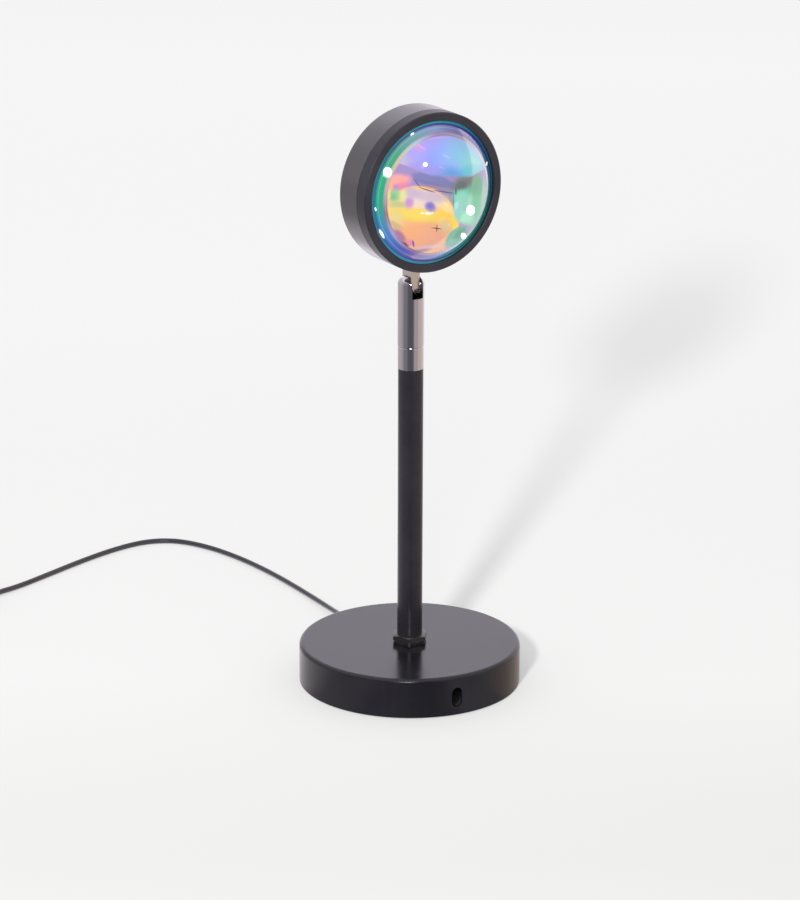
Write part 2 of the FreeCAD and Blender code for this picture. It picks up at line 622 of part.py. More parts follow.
housing = new_body("head_housing", forward=True)
housing_turned = revolve(housing, [
    ("0", "back_face"), ("head_radius", "back_face"), ("head_radius", "seam_place"),
    ("bore_radius", "seam_place"), ("bore_radius", "inner_back"), ("pad_boss_radius", "inner_back"),
    ("pad_boss_radius", "boss_face"), ("0", "boss_face")])
housing_edged = soften(housing, "Fillet", housing_turned, "back_edge",
                       ring_edge(size["head_radius"], size["back_face"]))
soften(housing, "Chamfer", housing_edged, "seam_chamfer", ring_edge(size["head_radius"], size["seam_place"]))
stud_block = new_sketch(housing, "XY_Plane", "StudBlock", lift="inner_back")
block_top, block_foot = "stud_block_height - bore_radius", "0 - bore_radius - head_wall / 3"
half_block = "stud_block_width / 2"
draw_outline(stud_block, [("0 - " + half_block, block_foot), (half_block, block_foot),
                          (half_block, block_top), ("0 - " + half_block, block_top)])
pad(housing, stud_block, "stud_block_front - inner_back")
stud_hole = cylinder("stud_hole", "stud_radius + stud_play", "2 * (stud_top - tongue_top)",
                     z="tongue_top - head_wall")
housing_screw_holes = face_forward(
    screw_ring("housing_screw_holes", "board_screw_radius", "pad_boss_height + back_wall / 2",
               "inner_back - back_wall / 2"))
keep(cut("head_housing", housing, stud_hole, housing_screw_holes), "head_housing")

front_ring = new_body("front_ring", forward=True)
ring_turned = revolve(front_ring, [
    ("opening_radius", "head_front"), ("head_radius", "head_front"), ("head_radius", "seam_place"),
    ("skirt_outer", "seam_place"), ("skirt_outer", "skirt_end"), ("skirt_inner", "skirt_end"),
    ("skirt_inner", "lens_seat"), ("opening_radius", "lens_seat")])
ring_bevelled = soften(front_ring, "Chamfer", ring_turned, "front_chamfer",
                       ring_edge(size["head_radius"], size["head_front"]))
ring_seamed = soften(front_ring, "Chamfer", ring_bevelled, "seam_chamfer",
                     ring_edge(size["head_radius"], size["seam_place"]))
soften(front_ring, "Chamfer", ring_seamed, "opening_chamfer",
       ring_edge(size["opening_radius"], size["head_front"]))
keep(front_ring, "front_ring")

lens_disc = cylinder("lens_disc", "lens_radius", "lens_rim", z="lens_back")
lens_column = cylinder("lens_column", "dome_radius", "lens_rim + lens_sag + 1", z="lens_back")
lens_ball = document.addObject("Part::Sphere", "lens_ball")
bind(lens_ball, Radius="ball_radius")
bind(lens_ball, **{"Placement.Base.z": "lens_seat + lens_sag - ball_radius"})
lens_dome = common("lens_dome", lens_ball, lens_column)
keep(face_forward(fuse("lens", lens_disc, lens_dome)), "lens")

keep(face_forward(cylinder("colour_filter", "lens_radius", "filter_thickness"), front="filter_back"),
     "colour_filter")
gasket_disc = cylinder("gasket_disc", "lens_radius", "gasket_thickness", z="gasket_back")
gasket_hole = cylinder("gasket_hole", "gasket_inner", "gasket_thickness", z="gasket_back")
keep(face_forward(cut("lens_gasket", gasket_disc, gasket_hole)), "lens_gasket")

reflector = new_body("reflector_dish")
revolve(reflector, [
    ("flange_inner", "board_face"), ("board_radius", "board_face"),
    ("lens_radius", "gasket_back - reflector_wall"), ("lens_radius", "gasket_back"),
    ("gasket_inner", "gasket_back"), ("board_radius - reflector_wall / 2", "board_face + reflector_wall"),
    ("flange_inner", "board_face + reflector_wall")])
dish_holes = screw_ring("dish_holes", "board_screw_radius + lead_play", "2 * reflector_wall",
                        "board_face - reflector_wall / 2")
keep(face_forward(cut("reflector", reflector, dish_holes)), "reflector")

board_disc = cylinder("board_disc", "board_radius", "board_thickness", z="board_back")
board_holes = screw_ring("board_holes", "board_screw_radius + lead_play", "board_thickness", "board_back")
keep(face_forward(cut("led_board", board_disc, board_holes)), "led_board")

thermal_disc = cylinder("thermal_disc", "board_radius", "thermal_pad_thickness", z="boss_face")
thermal_holes = screw_ring("thermal_holes", "board_screw_radius + lead_play", "thermal_pad_thickness",
                           "boss_face")
keep(face_forward(cut("thermal_pad", thermal_disc, thermal_holes)), "thermal_pad")

screw_shanks = screw_ring("board_shanks", "board_screw_radius", "board_screw_length",
                          "board_face + reflector_wall - board_screw_length")
screw_heads = screw_ring("board_heads", "board_screw_head", "board_screw_head_height",
                         "board_face + reflector_wall")
keep(face_forward(fuse("board_screws", screw_shanks, screw_heads)), "board_screws")

emitter_base = cylinder("emitter_disc", "emitter_radius", "emitter_base", z="board_face")
emitter_ball = document.addObject("Part::Sphere", "emitter_ball")
bind(emitter_ball, Radius="emitter_dome")
bind(emitter_ball, **{"Placement.Base.z": "board_face + emitter_base"})
emitter_room = cylinder("emitter_room", "emitter_radius", "emitter_base + emitter_dome + 1", z="board_face")
emitter_dome = common("emitter_cap", emitter_ball, emitter_room)
keep(face_forward(fuse("led_emitter", emitter_base, emitter_dome)), "led_emitter")

keep(face_forward(box("driver_chip", "chip_length", "chip_width", "chip_height", x="chip_centre"),
                  front="board_face", rise="0 - chip_width / 2"), "driver_chip")
resistors = [box("resistor_%d" % number, "resistor_length", "resistor_width", "resistor_height",
                 x="0 - chip_centre", y="%d * resistor_width" % side, z="board_face")
             for number, side in enumerate((-1, 1))]
keep(face_forward(fuse("chip_resistors", *resistors)), "chip_resistors")

# ---------------------------------------------------------------- leads and strain relief

base_turned = FreeCAD.Rotation(Vector(0, 0, 1), size["base_turn"])
bend = size["inner_bend"]
bend_chord = bend * (1 - math.sqrt(0.5))
lead_level = size["exit_height"]
relief_inside = size["shell_inner"] - size["relief_neck_gap"] - size["relief_flange"]
stem_lead_path = [
    line(Vector(0, relief_inside, lead_level), Vector(0, bend, lead_level)),
    arc(Vector(0, bend, lead_level), Vector(0, bend_chord, lead_level + bend_chord),
        Vector(0, 0, lead_level + bend)),
    line(Vector(0, 0, lead_level + bend), Vector(0, 0, size["spigot_bottom"] - size["joint_gap"]))]
feature("stem_lead", tube(stem_lead_path, size["cord_radius"]), FreeCAD.Placement(Vector(), base_turned))
keep(cylinder("clevis_lead", "lead_radius", "hinge_height - tongue_end - joint_gap - spigot_bottom",
              z="spigot_bottom"), "clevis_lead")
feature("head_lead", tube(head_lead_path(), size["lead_radius"]))

relief = new_body("strain_relief")
revolve(relief, [
    ("0", "shell_inner - relief_neck_gap - relief_flange"),
    ("relief_flange_radius", "shell_inner - relief_neck_gap - relief_flange"),
    ("relief_flange_radius", "shell_inner - relief_neck_gap - relief_flange / 3"),
    ("exit_bore - relief_neck_gap", "shell_inner - relief_neck_gap - relief_flange / 3"),
    ("exit_bore - relief_neck_gap", "base_radius"), ("relief_flange_radius", "base_radius"),
    ("relief_flange_radius", "base_radius + relief_flange"),
    ("relief_root_radius", "base_radius + relief_flange"), ("relief_tip_radius", "relief_tip"),
    ("0", "relief_tip")])
relief.Placement = FreeCAD.Placement(
    Vector(), base_turned.multiply(FreeCAD.Rotation(Vector(1, 0, 0), -90)))
bind(relief, **{"Placement.Base.z": "exit_height"})
keep(relief, "strain_relief")

# ---------------------------------------------------------------- cord

exit_way = base_turned.multVec(Vector(0, 1, 0))
cord_start = exit_way * size["relief_tip"] + Vector(0, 0, lead_level)
on_floor = size["cord_radius"]
on_coil = size["coil_lift"] + on_floor
# The route on the table: away behind the base, then round to the left.
route = [cord_start,
         Vector(10.7, 80.3, 4.8), Vector(13.4, 98, 2.6), Vector(18.4, 121, 1.5), Vector(19.8, 147, on_floor),
         Vector(17.3, 172, on_floor), Vector(14.3, 195, on_floor), Vector(10.8, 218, on_floor),
         Vector(4.5, 235.5, on_floor), Vector(-9, 243.8, on_floor), Vector(-28, 243.6, on_floor),
         Vector(-51, 237.4, on_floor), Vector(-78, 227.5, on_floor), Vector(-101, 219.6, on_floor),
         Vector(-120, 214.6, on_coil), Vector(-138, 209.4, on_coil)]


def rounded_route(points):
    """Straight runs joined by arcs, each as large as its two runs allow, and the arcs' radii."""
    path, radii = [], []
    last = points[0]
    for before, corner, after in zip(points, points[1:], points[2:]):
        way_in = (corner - before).normalize()
        way_out = (after - corner).normalize()
        turn = way_in.getAngle(way_out)
        trim = 0.45 * min(corner.distanceToPoint(before), corner.distanceToPoint(after))
        radius = trim / math.tan(turn / 2)
        begin, end = corner - way_in * trim, corner + way_out * trim
        inward = (way_out - way_in).normalize()
        middle = corner + inward * (radius / math.cos(turn / 2) - radius)
        path += [line(last, begin), arc(begin, middle, end)]
        radii.append(radius)
        last = end
    path.append(line(last, points[-1]))
    return path, radii


cord_path, cord_radii = rounded_route(route)
feature("cord_free", tube(cord_path, size["cord_radius"]))
print("cord radii", [round(radius, 1) for radius in cord_radii])
print("free cord length", round(sum(edge.Length for edge in cord_path), 1))


def biarc(start, start_way, end, end_way):
    """Two arcs in space that leave one point and reach another along given directions."""
    chord, ways = end - start, start_way + end_way
    share = 2 * (1 - start_way.dot(end_way))
    if share < 1e-9:
        return [line(start, end)]
    reach = (-chord.dot(ways) + math.sqrt(chord.dot(ways) ** 2 + share * chord.dot(chord))) / share
    joint = (start + end + (start_way - end_way) * reach) * 0.5
    edges = []
    for near, way, far in ((start, start_way, joint), (end, end_way * -1, joint)):
        span = far - near
        across = span - way * span.dot(way)
        radius = span.dot(span) / 2 / across.Length
        centre = near + across.normalize() * radius
        middle = centre + ((near + far) * 0.5 - centre).normalize() * radius
        edges.append((near, middle, far))
    first_half, second_half = edges
    return [arc(*first_half), arc(second_half[2], second_half[1], second_half[0])]


coil_way = (route[-1] - route[-2]).normalize()
straight_end = 2 * size["cord_radius"]
coil_start = route[-1] + coil_way * straight_end
turns_in_layer = size["coil_turns_per_layer"]
layers = size["coil_layers"]
pitch = size["coil_pitch"]
outer_turn = size["coil_mean_radius"] + pitch * turns_in_layer / 2
coil_inward = Vector(coil_way.y, -coil_way.x, 0)
coil_centre = coil_start + coil_inward * outer_turn
start_angle = math.atan2(-coil_inward.y, -coil_inward.x)
quarters = 4
last_turn = layers * turns_in_layer


def coil_point(turns):
    """The coil's middle line after a number of clockwise turns from its outer lower end."""
    layer_place = turns / turns_in_layer
    reversal = round(layer_place)
    radius = outer_turn - pitch * abs(layer_place - 2 * round(layer_place / 2)) * turns_in_layer
    if 0 < reversal < layers:
        away = (turns - reversal * turns_in_layer) * 2
        climb = 0.5 * math.sin(math.pi * away) if abs(away) < 0.5 else math.copysign(0.5, away)
        layer = reversal - 0.5 + climb
    else:
        layer = 0 if reversal == 0 else layers - 1
    height = coil_start.z + pitch * layer
    angle = start_angle - 2 * math.pi * turns
    return coil_centre + Vector(radius * math.cos(angle), radius * math.sin(angle), height - coil_centre.z)


def coil_direction(turns):
    step = 1e-4
    return (coil_point(turns + step) - coil_point(turns - step)).normalize()


stations = [(coil_start, coil_way)]
for number in range(1, quarters * last_turn + 1):
    stations.append((coil_point(number / quarters), coil_direction(number / quarters)))
# From the top of the coil the cord runs off and down to the plug that lies beside it.
tail_turn = math.radians(size["tail_turn"])
tail_reach = size["tail_reach"]
plug_way = coil_way * math.cos(tail_turn) + coil_inward * math.sin(tail_turn)
tail_end = (stations[-1][0] + coil_way * tail_reach
            + coil_inward * (tail_reach * math.tan(tail_turn / 2)))
tail_end.z = size["plug_height"] / 2
stations.append((tail_end, plug_way))
coil_path = [line(route[-1], coil_start)]
for (near, near_way), (far, far_way) in zip(stations, stations[1:]):
    coil_path += biarc(near, near_way, far, far_way)
cord_end = tail_end + plug_way * straight_end
coil_path.append(line(tail_end, cord_end))
feature("cord_coil", tube(coil_path, size["cord_radius"]))


def least_gap(path, thickness, apart=12.0):
    """The least clear space between stretches of a tube that lie some way apart along it."""
    wire = Part.Wire(path)
    points = wire.discretize(Distance=1.0)
    step = wire.Length / (len(points) - 1)
    skip = int(apart / step)
    nearest = min(points[i].distanceToPoint(points[j])
                  for i in range(len(points)) for j in range(i + skip, len(points)))
    return nearest - thickness


coil_length = sum(edge.Length for edge in coil_path)
print("coil length", round(coil_length, 1), "turns", last_turn,
      "least gap", round(least_gap(coil_path, 2 * size["cord_radius"]), 3))

# A flat band round all the turns, a quarter turn ahead of the coil's start.
tie_angle = start_angle + math.pi / 2
tie_out = Vector(math.cos(tie_angle), math.sin(tie_angle), 0)
clear = size["cord_radius"] + size["tie_gap"]
outer_side = outer_turn - pitch / quarters + clear
inner_turn = outer_turn - pitch * (turns_in_layer - 1 / quarters)
inner_side = math.sqrt(inner_turn ** 2 - (size["tie_width"] / 2) ** 2) - clear
low_side, high_side = on_coil - clear, on_coil + pitch * (layers - 1) + clear


def band_block(grow):
    block = Part.makeBox(outer_side - inner_side + 2 * grow, size["tie_width"],
                         high_side - low_side + 2 * grow)
    block.translate(Vector(inner_side - grow, -size["tie_width"] / 2, low_side - grow))
    return block


tie = band_block(size["tie_thickness"]).cut(band_block(0))
feature("coil_tie", tie, FreeCAD.Placement(
    Vector(coil_centre.x, coil_centre.y, 0), FreeCAD.Rotation(Vector(1, 0, 0), tie_out)))

# ---------------------------------------------------------------- plug

plug_place = FreeCAD.Placement(cord_end, FreeCAD.Rotation(Vector(1, 0, 0), plug_way))


def on_plug(thing, label):
    thing.Placement = plug_place
    return keep(thing, label)


relief_cone = document.addObject("Part::Cone", "relief_cone")
bind(relief_cone, Radius1="plug_relief_tip", Radius2="plug_relief_root", Height="plug_relief_length")
relief_cone.Placement = plug_place.multiply(
    FreeCAD.Placement(Vector(), FreeCAD.Rotation(Vector(0, 1, 0), 90)))
keep(relief_cone, "plug_relief")

plug_block = box("plug_block", "plug_length", "plug_width", "plug_height",
                 x="plug_relief_length + plug_length / 2", z="0 - plug_height / 2")
document.recompute()
plug_rounded = document.addObject("Part::Fillet", "plug_rounded")
plug_rounded.Base = plug_block
long_edges = edges_at(plug_block.Shape, lambda edge, middle: abs(edge.tangentAt(0).x) > 0.9)
plug_rounded.Edges = [(int(name[4:]), size["plug_edge"], size["plug_edge"]) for name in long_edges]
on_plug(plug_rounded, "plug_body")

shell_middle = "plug_relief_length + plug_length + usb_length / 2"
usb_outer = box("usb_outer", "usb_length", "usb_width", "usb_height", x=shell_middle,
                z="0 - usb_height / 2")
usb_inner = box("usb_inner", "usb_length", "usb_width - 2 * usb_wall", "usb_height - 2 * usb_wall",
                x=shell_middle, z="usb_wall - usb_height / 2")
windows = [box("usb_window_%d" % number, "usb_length / 5", "usb_width / 5", "2 * usb_height", x=shell_middle,
               y="%d * usb_width / 5" % side, z="0 - usb_height") for number, side in enumerate((-1, 1))]
on_plug(cut("plug_shell", usb_outer, usb_inner, *windows), "plug_shell")

insert_start = "plug_relief_length + plug_length"
insert_level = "usb_height / 2 - usb_wall - insert_height"
insert_block = box("insert_block", "insert_length", "usb_width - 2 * usb_wall", "insert_height",
                   x=insert_start + " + insert_length / 2", z=insert_level)
insert_step = box("insert_step", "insert_length / 8", "usb_width", "insert_height / 4",
                  x=insert_start + " + insert_length", z=insert_level)
on_plug(cut("plug_insert", insert_block, insert_step), "plug_insert")
contacts = [box("contact_%d" % number, "contact_length", "contact_width", "contact_height",
                x=insert_start + " + insert_length - 0.6 * contact_length",
                y="(%d - (contact_count - 1) / 2) * contact_pitch" % number,
                z="usb_height / 2 - usb_wall - insert_height - contact_height")
            for number in range(size["contact_count"])]
on_plug(fuse("plug_contacts", *contacts), "plug_contacts")

# ---------------------------------------------------------------- check and write

document.recompute()
for thing in document.Objects:
    assert not {"Invalid", "Error"} & set(thing.State), "%s failed: %s" % (thing.Name, thing.State)
os.makedirs("parts", exist_ok=True)
labels = [thing.Label for thing in nodes]
assert len(set(labels)) == len(labels), "two sub-parts share a name"
for thing in nodes:
    shape = thing.Shape
    assert not shape.isNull() and shape.isValid() and shape.Solids, thing.Label + " has no sound shape"
    shape.exportStep("parts/%s.step" % thing.Label)
    corner = shape.BoundBox
    print("%-18s %9.1f mm3 %d  x %.2f %.2f  y %.2f %.2f  z %.2f %.2f" % (
        thing.Label, shape.Volume, len(shape.Solids), corner.XMin, corner.XMax, corner.YMin, corner.YMax,
        corner.ZMin, corner.ZMax))
print(len(nodes), "sub-parts")
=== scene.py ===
import math
import bpy
from mathutils import Matrix, Vector


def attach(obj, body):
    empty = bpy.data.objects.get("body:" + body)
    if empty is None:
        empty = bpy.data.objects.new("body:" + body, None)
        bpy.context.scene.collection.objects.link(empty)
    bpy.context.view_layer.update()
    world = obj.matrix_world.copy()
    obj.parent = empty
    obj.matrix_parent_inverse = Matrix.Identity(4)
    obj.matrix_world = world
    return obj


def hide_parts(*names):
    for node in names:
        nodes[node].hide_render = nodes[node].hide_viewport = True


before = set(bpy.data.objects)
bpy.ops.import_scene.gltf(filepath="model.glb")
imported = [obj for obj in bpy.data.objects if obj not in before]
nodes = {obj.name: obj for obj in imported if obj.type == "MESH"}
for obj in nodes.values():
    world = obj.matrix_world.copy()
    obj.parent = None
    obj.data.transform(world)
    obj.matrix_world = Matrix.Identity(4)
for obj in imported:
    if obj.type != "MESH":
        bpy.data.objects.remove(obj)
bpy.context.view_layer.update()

scene = bpy.context.scene
degree = math.pi / 180
print("frame loaded:", len(nodes), "CAD pieces")

# camera: place in metres, heading from +Y towards +X, angles in degrees, focal length in image pixels
cameraSetup = {"place": (-1.1595, -1.7452, 0.8199), "heading": 33.46, "down": 18.463, "roll": 0.201,
               "focalPixels": 4491.3, "imageWidth": 800, "sensor": 36, "clip": (0.05, 60)}


def makeCamera(setup):
    data = bpy.data.cameras.new("photoCamera")
    data.sensor_fit = "HORIZONTAL"
    data.sensor_width = setup["sensor"]
    data.lens = setup["sensor"] * setup["focalPixels"] / setup["imageWidth"]
    data.clip_start, data.clip_end = setup["clip"]
    camera = bpy.data.objects.new("photoCamera", data)
    turn = Matrix.Rotation(-setup["heading"] * degree, 4, "Z")
    turn = turn @ Matrix.Rotation((90 - setup["down"]) * degree, 4, "X")
    turn = turn @ Matrix.Rotation(setup["roll"] * degree, 4, "Z")
    camera.matrix_world = Matrix.Translation(setup["place"]) @ turn
    scene.collection.objects.link(camera)
    scene.camera = camera


makeCamera(cameraSetup)

# cord, in metres: close to the CAD tube's route, then the put-away coil and the run to the plug
cordSetup = {"thickness": 0.0028, "length": 1.52, "aroundDetail": 6, "alongDetail": 8,
             "exit": (0.00979, 0.06628, 0.005),
             "route": [(0.0124, 0.0803, 0.0048), (0.0164, 0.0975, 0.0026), (0.0194, 0.121, 0.0015),
                       (0.0208, 0.147, 0.0014), (0.0208, 0.172, 0.0014), (0.0188, 0.196, 0.0014),
                       (0.014, 0.2185, 0.0014), (0.0052, 0.2362, 0.0014), (-0.009, 0.244, 0.0014),
                       (-0.028, 0.2428, 0.0014), (-0.051, 0.2369, 0.0014), (-0.078, 0.2276, 0.0014),
                       (-0.101, 0.2196, 0.0014), (-0.12, 0.2146, 0.0023), (-0.138, 0.2094, 0.0023)],
             "straightEnd": 0.0028, "outerTurn": 0.020025, "pitch": 0.00335,
             "layers": 4, "turnsInLayer": 3, "pointsInTurn": 16, "widen": 1.01,
             # the run to the plug turns by tailTurn degrees; then shares of its reach: where it leaves the
             # coil, where it sinks (along, aside, and how far down) and how it enters the plug
             "tailReach": 0.062, "tailTurn": 24, "plugLevel": 0.0037,
             "tailLeave": 0.22, "tailSink": (0.5, 0.01, 0.5), "tailEnter": (0.26, 0.06)}


def coilRun(setup):
    # clockwise turns that spiral in and out, one layer on another, then the run off to the plug
    last, before = Vector(setup["route"][-1]), Vector(setup["route"][-2])
    way = (last - before).normalized()
    inward = Vector((way.y, -way.x, 0))
    start = last + way * setup["straightEnd"]
    centre = start + inward * setup["outerTurn"]
    startAngle = math.atan2(-inward.y, -inward.x)
    perTurn, perLayer, layers = setup["pointsInTurn"], setup["turnsInLayer"], setup["layers"]
    points = []
    for step in range(1, perTurn * perLayer * layers):
        turns = step / perTurn
        layerPlace = turns / perLayer
        reversal = round(layerPlace)
        radius = setup["outerTurn"] - setup["pitch"] * abs(layerPlace - 2 * round(layerPlace / 2)) * perLayer
        if 0 < reversal < layers:  # the climb to the next layer takes half a turn
            away = (turns - reversal * perLayer) * 2
            climb = 0.5 * math.sin(math.pi * away) if abs(away) < 0.5 else math.copysign(0.5, away)
            layer = reversal - 0.5 + climb
        else:
            layer = 0 if reversal == 0 else layers - 1
        radius *= setup["widen"]  # the spline runs a little inside its points
        angle = startAngle - 2 * math.pi * turns
        points.append((centre.x + radius * math.cos(angle), centre.y + radius * math.sin(angle),
                       start.z + setup["pitch"] * layer))
    top = start + Vector((0, 0, setup["pitch"] * (layers - 1)))
    turn, reach = setup["tailTurn"] * degree, setup["tailReach"]
    tailEnd = top + way * reach + inward * (reach * math.tan(turn / 2))
    tailEnd.z = setup["plugLevel"]
    plugWay = way * math.cos(turn) + inward * math.sin(turn)
    along, aside, down = setup["tailSink"]
    sunk = Vector((0, 0, (top.z - tailEnd.z) * down))
    tail = [top, top + way * (reach * setup["tailLeave"]),
            top + way * (reach * along) + inward * (reach * aside) - sunk]
    tail += [tailEnd - plugWay * (reach * share) for share in setup["tailEnter"]]
    tail.append(tailEnd + plugWay * setup["straightEnd"])
    return points + [tuple(place) for place in tail]


def makeCord(setup):
    points = [setup["exit"]] + setup["route"] + coilRun(setup)
    data = bpy.data.curves.new("cordSheath", "CURVE")
    data.dimensions = "3D"
    data.bevel_depth = 1.0  # the points' own radius sets the thickness, so the curve's box comes out true
    data.bevel_resolution = setup["aroundDetail"]
    data.resolution_u = setup["alongDetail"]
    spline = data.splines.new("NURBS")
    spline.points.add(len(points) - 1)
    for point, place in zip(spline.points, points):
        point.co = (*place, 1)
        point.radius = setup["thickness"] / 2
    spline.order_u = 3
    spline.use_endpoint_u = True
    cord = bpy.data.objects.new("cordSheath", data)
    scene.collection.objects.link(cord)
    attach(cord, "base")
    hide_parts("cord_free", "cord_coil")
    return cord


cord = makeCord(cordSetup)
print("camera and cord placed")

# small helpers for shader nodes


def addNode(tree, kind, **values):
    node = tree.nodes.new(kind)
    for name, value in values.items():
        setattr(node, name, value)
    return node


def setInput(tree, socket, value):
    # a value is either another node's output or a plain number, vector or colour
    if isinstance(value, bpy.types.NodeSocket):
        tree.links.new(value, socket)
    elif isinstance(value, (tuple, list)) and len(value) == 3 and socket.type == "RGBA":
        socket.default_value = (*value, 1)
    else:
        socket.default_value = value


def mathNode(tree, operation, first, second=0.0, third=0.0, clamp=False):
    node = addNode(tree, "ShaderNodeMath", operation=operation, use_clamp=clamp)
    for socket, value in zip(node.inputs, (first, second, third)):
        setInput(tree, socket, value)
    return node.outputs[0]


def vectorNode(tree, operation, first, second=(0, 0, 0), scale=None):
    node = addNode(tree, "ShaderNodeVectorMath", operation=operation)
    setInput(tree, node.inputs[0], first)
    if operation not in ("LENGTH", "NORMALIZE", "SCALE"):
        setInput(tree, node.inputs[1], second)
    if scale is not None:
        setInput(tree, node.inputs["Scale"], scale)
    return node.outputs["Value"] if operation in ("LENGTH", "DOT_PRODUCT", "DISTANCE") else node.outputs[0]


def mixColours(tree, share, under, over, blend="MIX"):
    node = addNode(tree, "ShaderNodeMix", data_type="RGBA", blend_type=blend)
    setInput(tree, node.inputs[0], share)
    setInput(tree, node.inputs[6], under)
    setInput(tree, node.inputs[7], over)
    return node.outputs[2]


def remap(tree, value, low, high, newLow=0.0, newHigh=1.0, smooth=False):
    node = addNode(tree, "ShaderNodeMapRange")
    if smooth:
        node.interpolation_type = "SMOOTHSTEP"
    for socket, given in zip(node.inputs, (value, low, high, newLow, newHigh)):
        setInput(tree, socket, given)
    return node.outputs[0]


def objectPlace(tree):
    return addNode(tree, "ShaderNodeTexCoord").outputs["Object"]


def newGroup(name, inputs, outputs):
    # inputs and outputs: name -> (socket kind, default value)
    tree = bpy.data.node_groups.new(name, "ShaderNodeTree")
    kinds = {"number": "NodeSocketFloat", "vector": "NodeSocketVector", "colour": "NodeSocketColor"}
    for direction, sockets in (("INPUT", inputs), ("OUTPUT", outputs)):
        for socketName, (kind, value) in sockets.items():
            socket = tree.interface.new_socket(name=socketName, in_out=direction, socket_type=kinds[kind])
            if value is not None:
                socket.default_value = value
    return tree, tree.nodes.new("NodeGroupInput").outputs, tree.nodes.new("NodeGroupOutput").inputs


def useGroup(tree, group, **values):
    node = tree.nodes.new("ShaderNodeGroup")
    node.node_tree = group
    for name, value in values.items():
        setInput(tree, node.inputs[name], value)
    return node.outputs


def noise(tree, place, scale, detail=2.0, rough=0.5):
    node = addNode(tree, "ShaderNodeTexNoise")
    setInput(tree, node.inputs["Vector"], place)
    setInput(tree, node.inputs["Scale"], scale)
    setInput(tree, node.inputs["Detail"], detail)
    setInput(tree, node.inputs["Roughness"], rough)
    return node.outputs[0]


# textures: detail and roughness of each noise, how much coarser and weaker the clouds are than the
# pebbles, and the levels between which specks and smudges set in
textures = {"pebbles": (3.0, 0.55), "clouds": (2.0, 0.5), "patches": (4.0, 0.6), "lines": (4.0, 0.6),
            "cloudScale": 0.12, "cloudShare": 0.3, "speckLevels": (0.62, 0.78), "smudgeLevels": (0.35, 0.7)}


def makeGrainGroup(setup):
    # fine pebbled grain of powder coat or moulded plastic; Size is one pebble in metres
    tree, given, result = newGroup("fineGrain", {"Size": ("number", 0.0004)},
                                   {"Height": ("number", None), "Speck": ("number", None)})
    place = objectPlace(tree)
    scale = mathNode(tree, "DIVIDE", 1.0, given["Size"])
    pebbles = noise(tree, place, scale, *setup["pebbles"])
    cloud = noise(tree, place, mathNode(tree, "MULTIPLY", scale, setup["cloudScale"]), *setup["clouds"])
    tree.links.new(mathNode(tree, "MULTIPLY_ADD", cloud, setup["cloudShare"], pebbles), result["Height"])
    tree.links.new(remap(tree, pebbles, *setup["speckLevels"]), result["Speck"])
    return tree


def makeSmudgeGroup(setup):
    # slow uneven patches, as of handling and fine dust
    tree, given, result = newGroup("softSmudge", {"Patch": ("number", 0.02)}, {"Mask": ("number", None)})
    place = objectPlace(tree)
    scale = mathNode(tree, "DIVIDE", 1.0, given["Patch"])
    patches = noise(tree, place, scale, *setup["patches"])
    tree.links.new(remap(tree, patches, *setup["smudgeLevels"], smooth=True), result["Mask"])
    return tree


def makeConvexRimGroup():
    # lighter rims where an edge is convex
    tree, given, result = newGroup("edgeRim", {"Low": ("number", 0.51), "High": ("number", 0.6)},
                                   {"Mask": ("number", None)})
    point = addNode(tree, "ShaderNodeNewGeometry").outputs["Pointiness"]
    tree.links.new(remap(tree, point, given["Low"], given["High"], smooth=True), result["Mask"])
    return tree


def makeBrushGroup(setup):
    # fine parallel scratches; Stretch is small along the brushing
    tree, given, result = newGroup("brushLines", {"Stretch": ("vector", (1.0, 1.0, 0.05)),
                                                  "Size": ("number", 0.0003)},
                                   {"Height": ("number", None)})
    place = vectorNode(tree, "MULTIPLY", objectPlace(tree), given["Stretch"])
    scale = mathNode(tree, "DIVIDE", 1.0, given["Size"])
    tree.links.new(noise(tree, place, scale, *setup["lines"]), result["Height"])
    return tree


grainGroup, smudgeGroup = makeGrainGroup(textures), makeSmudgeGroup(textures)
convexRimGroup, brushGroup = makeConvexRimGroup(), makeBrushGroup(textures)


def newMaterial(name):
    material = bpy.data.materials.new(name)
    material.use_nodes = True
    tree = material.node_tree
    return material, tree, tree.nodes["Principled BSDF"]


def addBump(tree, shader, height, look):
    bump = addNode(tree, "ShaderNodeBump")
    bump.inputs["Strength"].default_value = look["bump"]
    bump.inputs["Distance"].default_value = look["bumpDepth"]
    tree.links.new(height, bump.inputs["Height"])
    tree.links.new(bump.outputs[0], shader.inputs["Normal"])


# what a finish has unless its own look says otherwise: sizes in metres, tints as shares of a lighter tone,
# which is the colour times the first number of "lighten" plus the second
coatedUsual = {"grainSize": 0.0005, "patch": 0.02, "lighten": (2.2, 0.01), "smudgeTint": 0.25,
               "speckTint": 0.2, "edgeTint": 0.4, "roughSpread": 0.03, "bump": 0.15, "bumpDepth": 0.00003,
               "ior": 1.5, "coat": 0.0, "coatRoughness": 0.1}
metalUsual = {"stretch": (1.0, 1.0, 0.04), "lineSize": 0.0002, "patch": 0.006, "darken": 0.8,
              "lineTint": 0.25, "roughSpread": 0.03, "bump": 0.05, "bumpDepth": 0.00001}


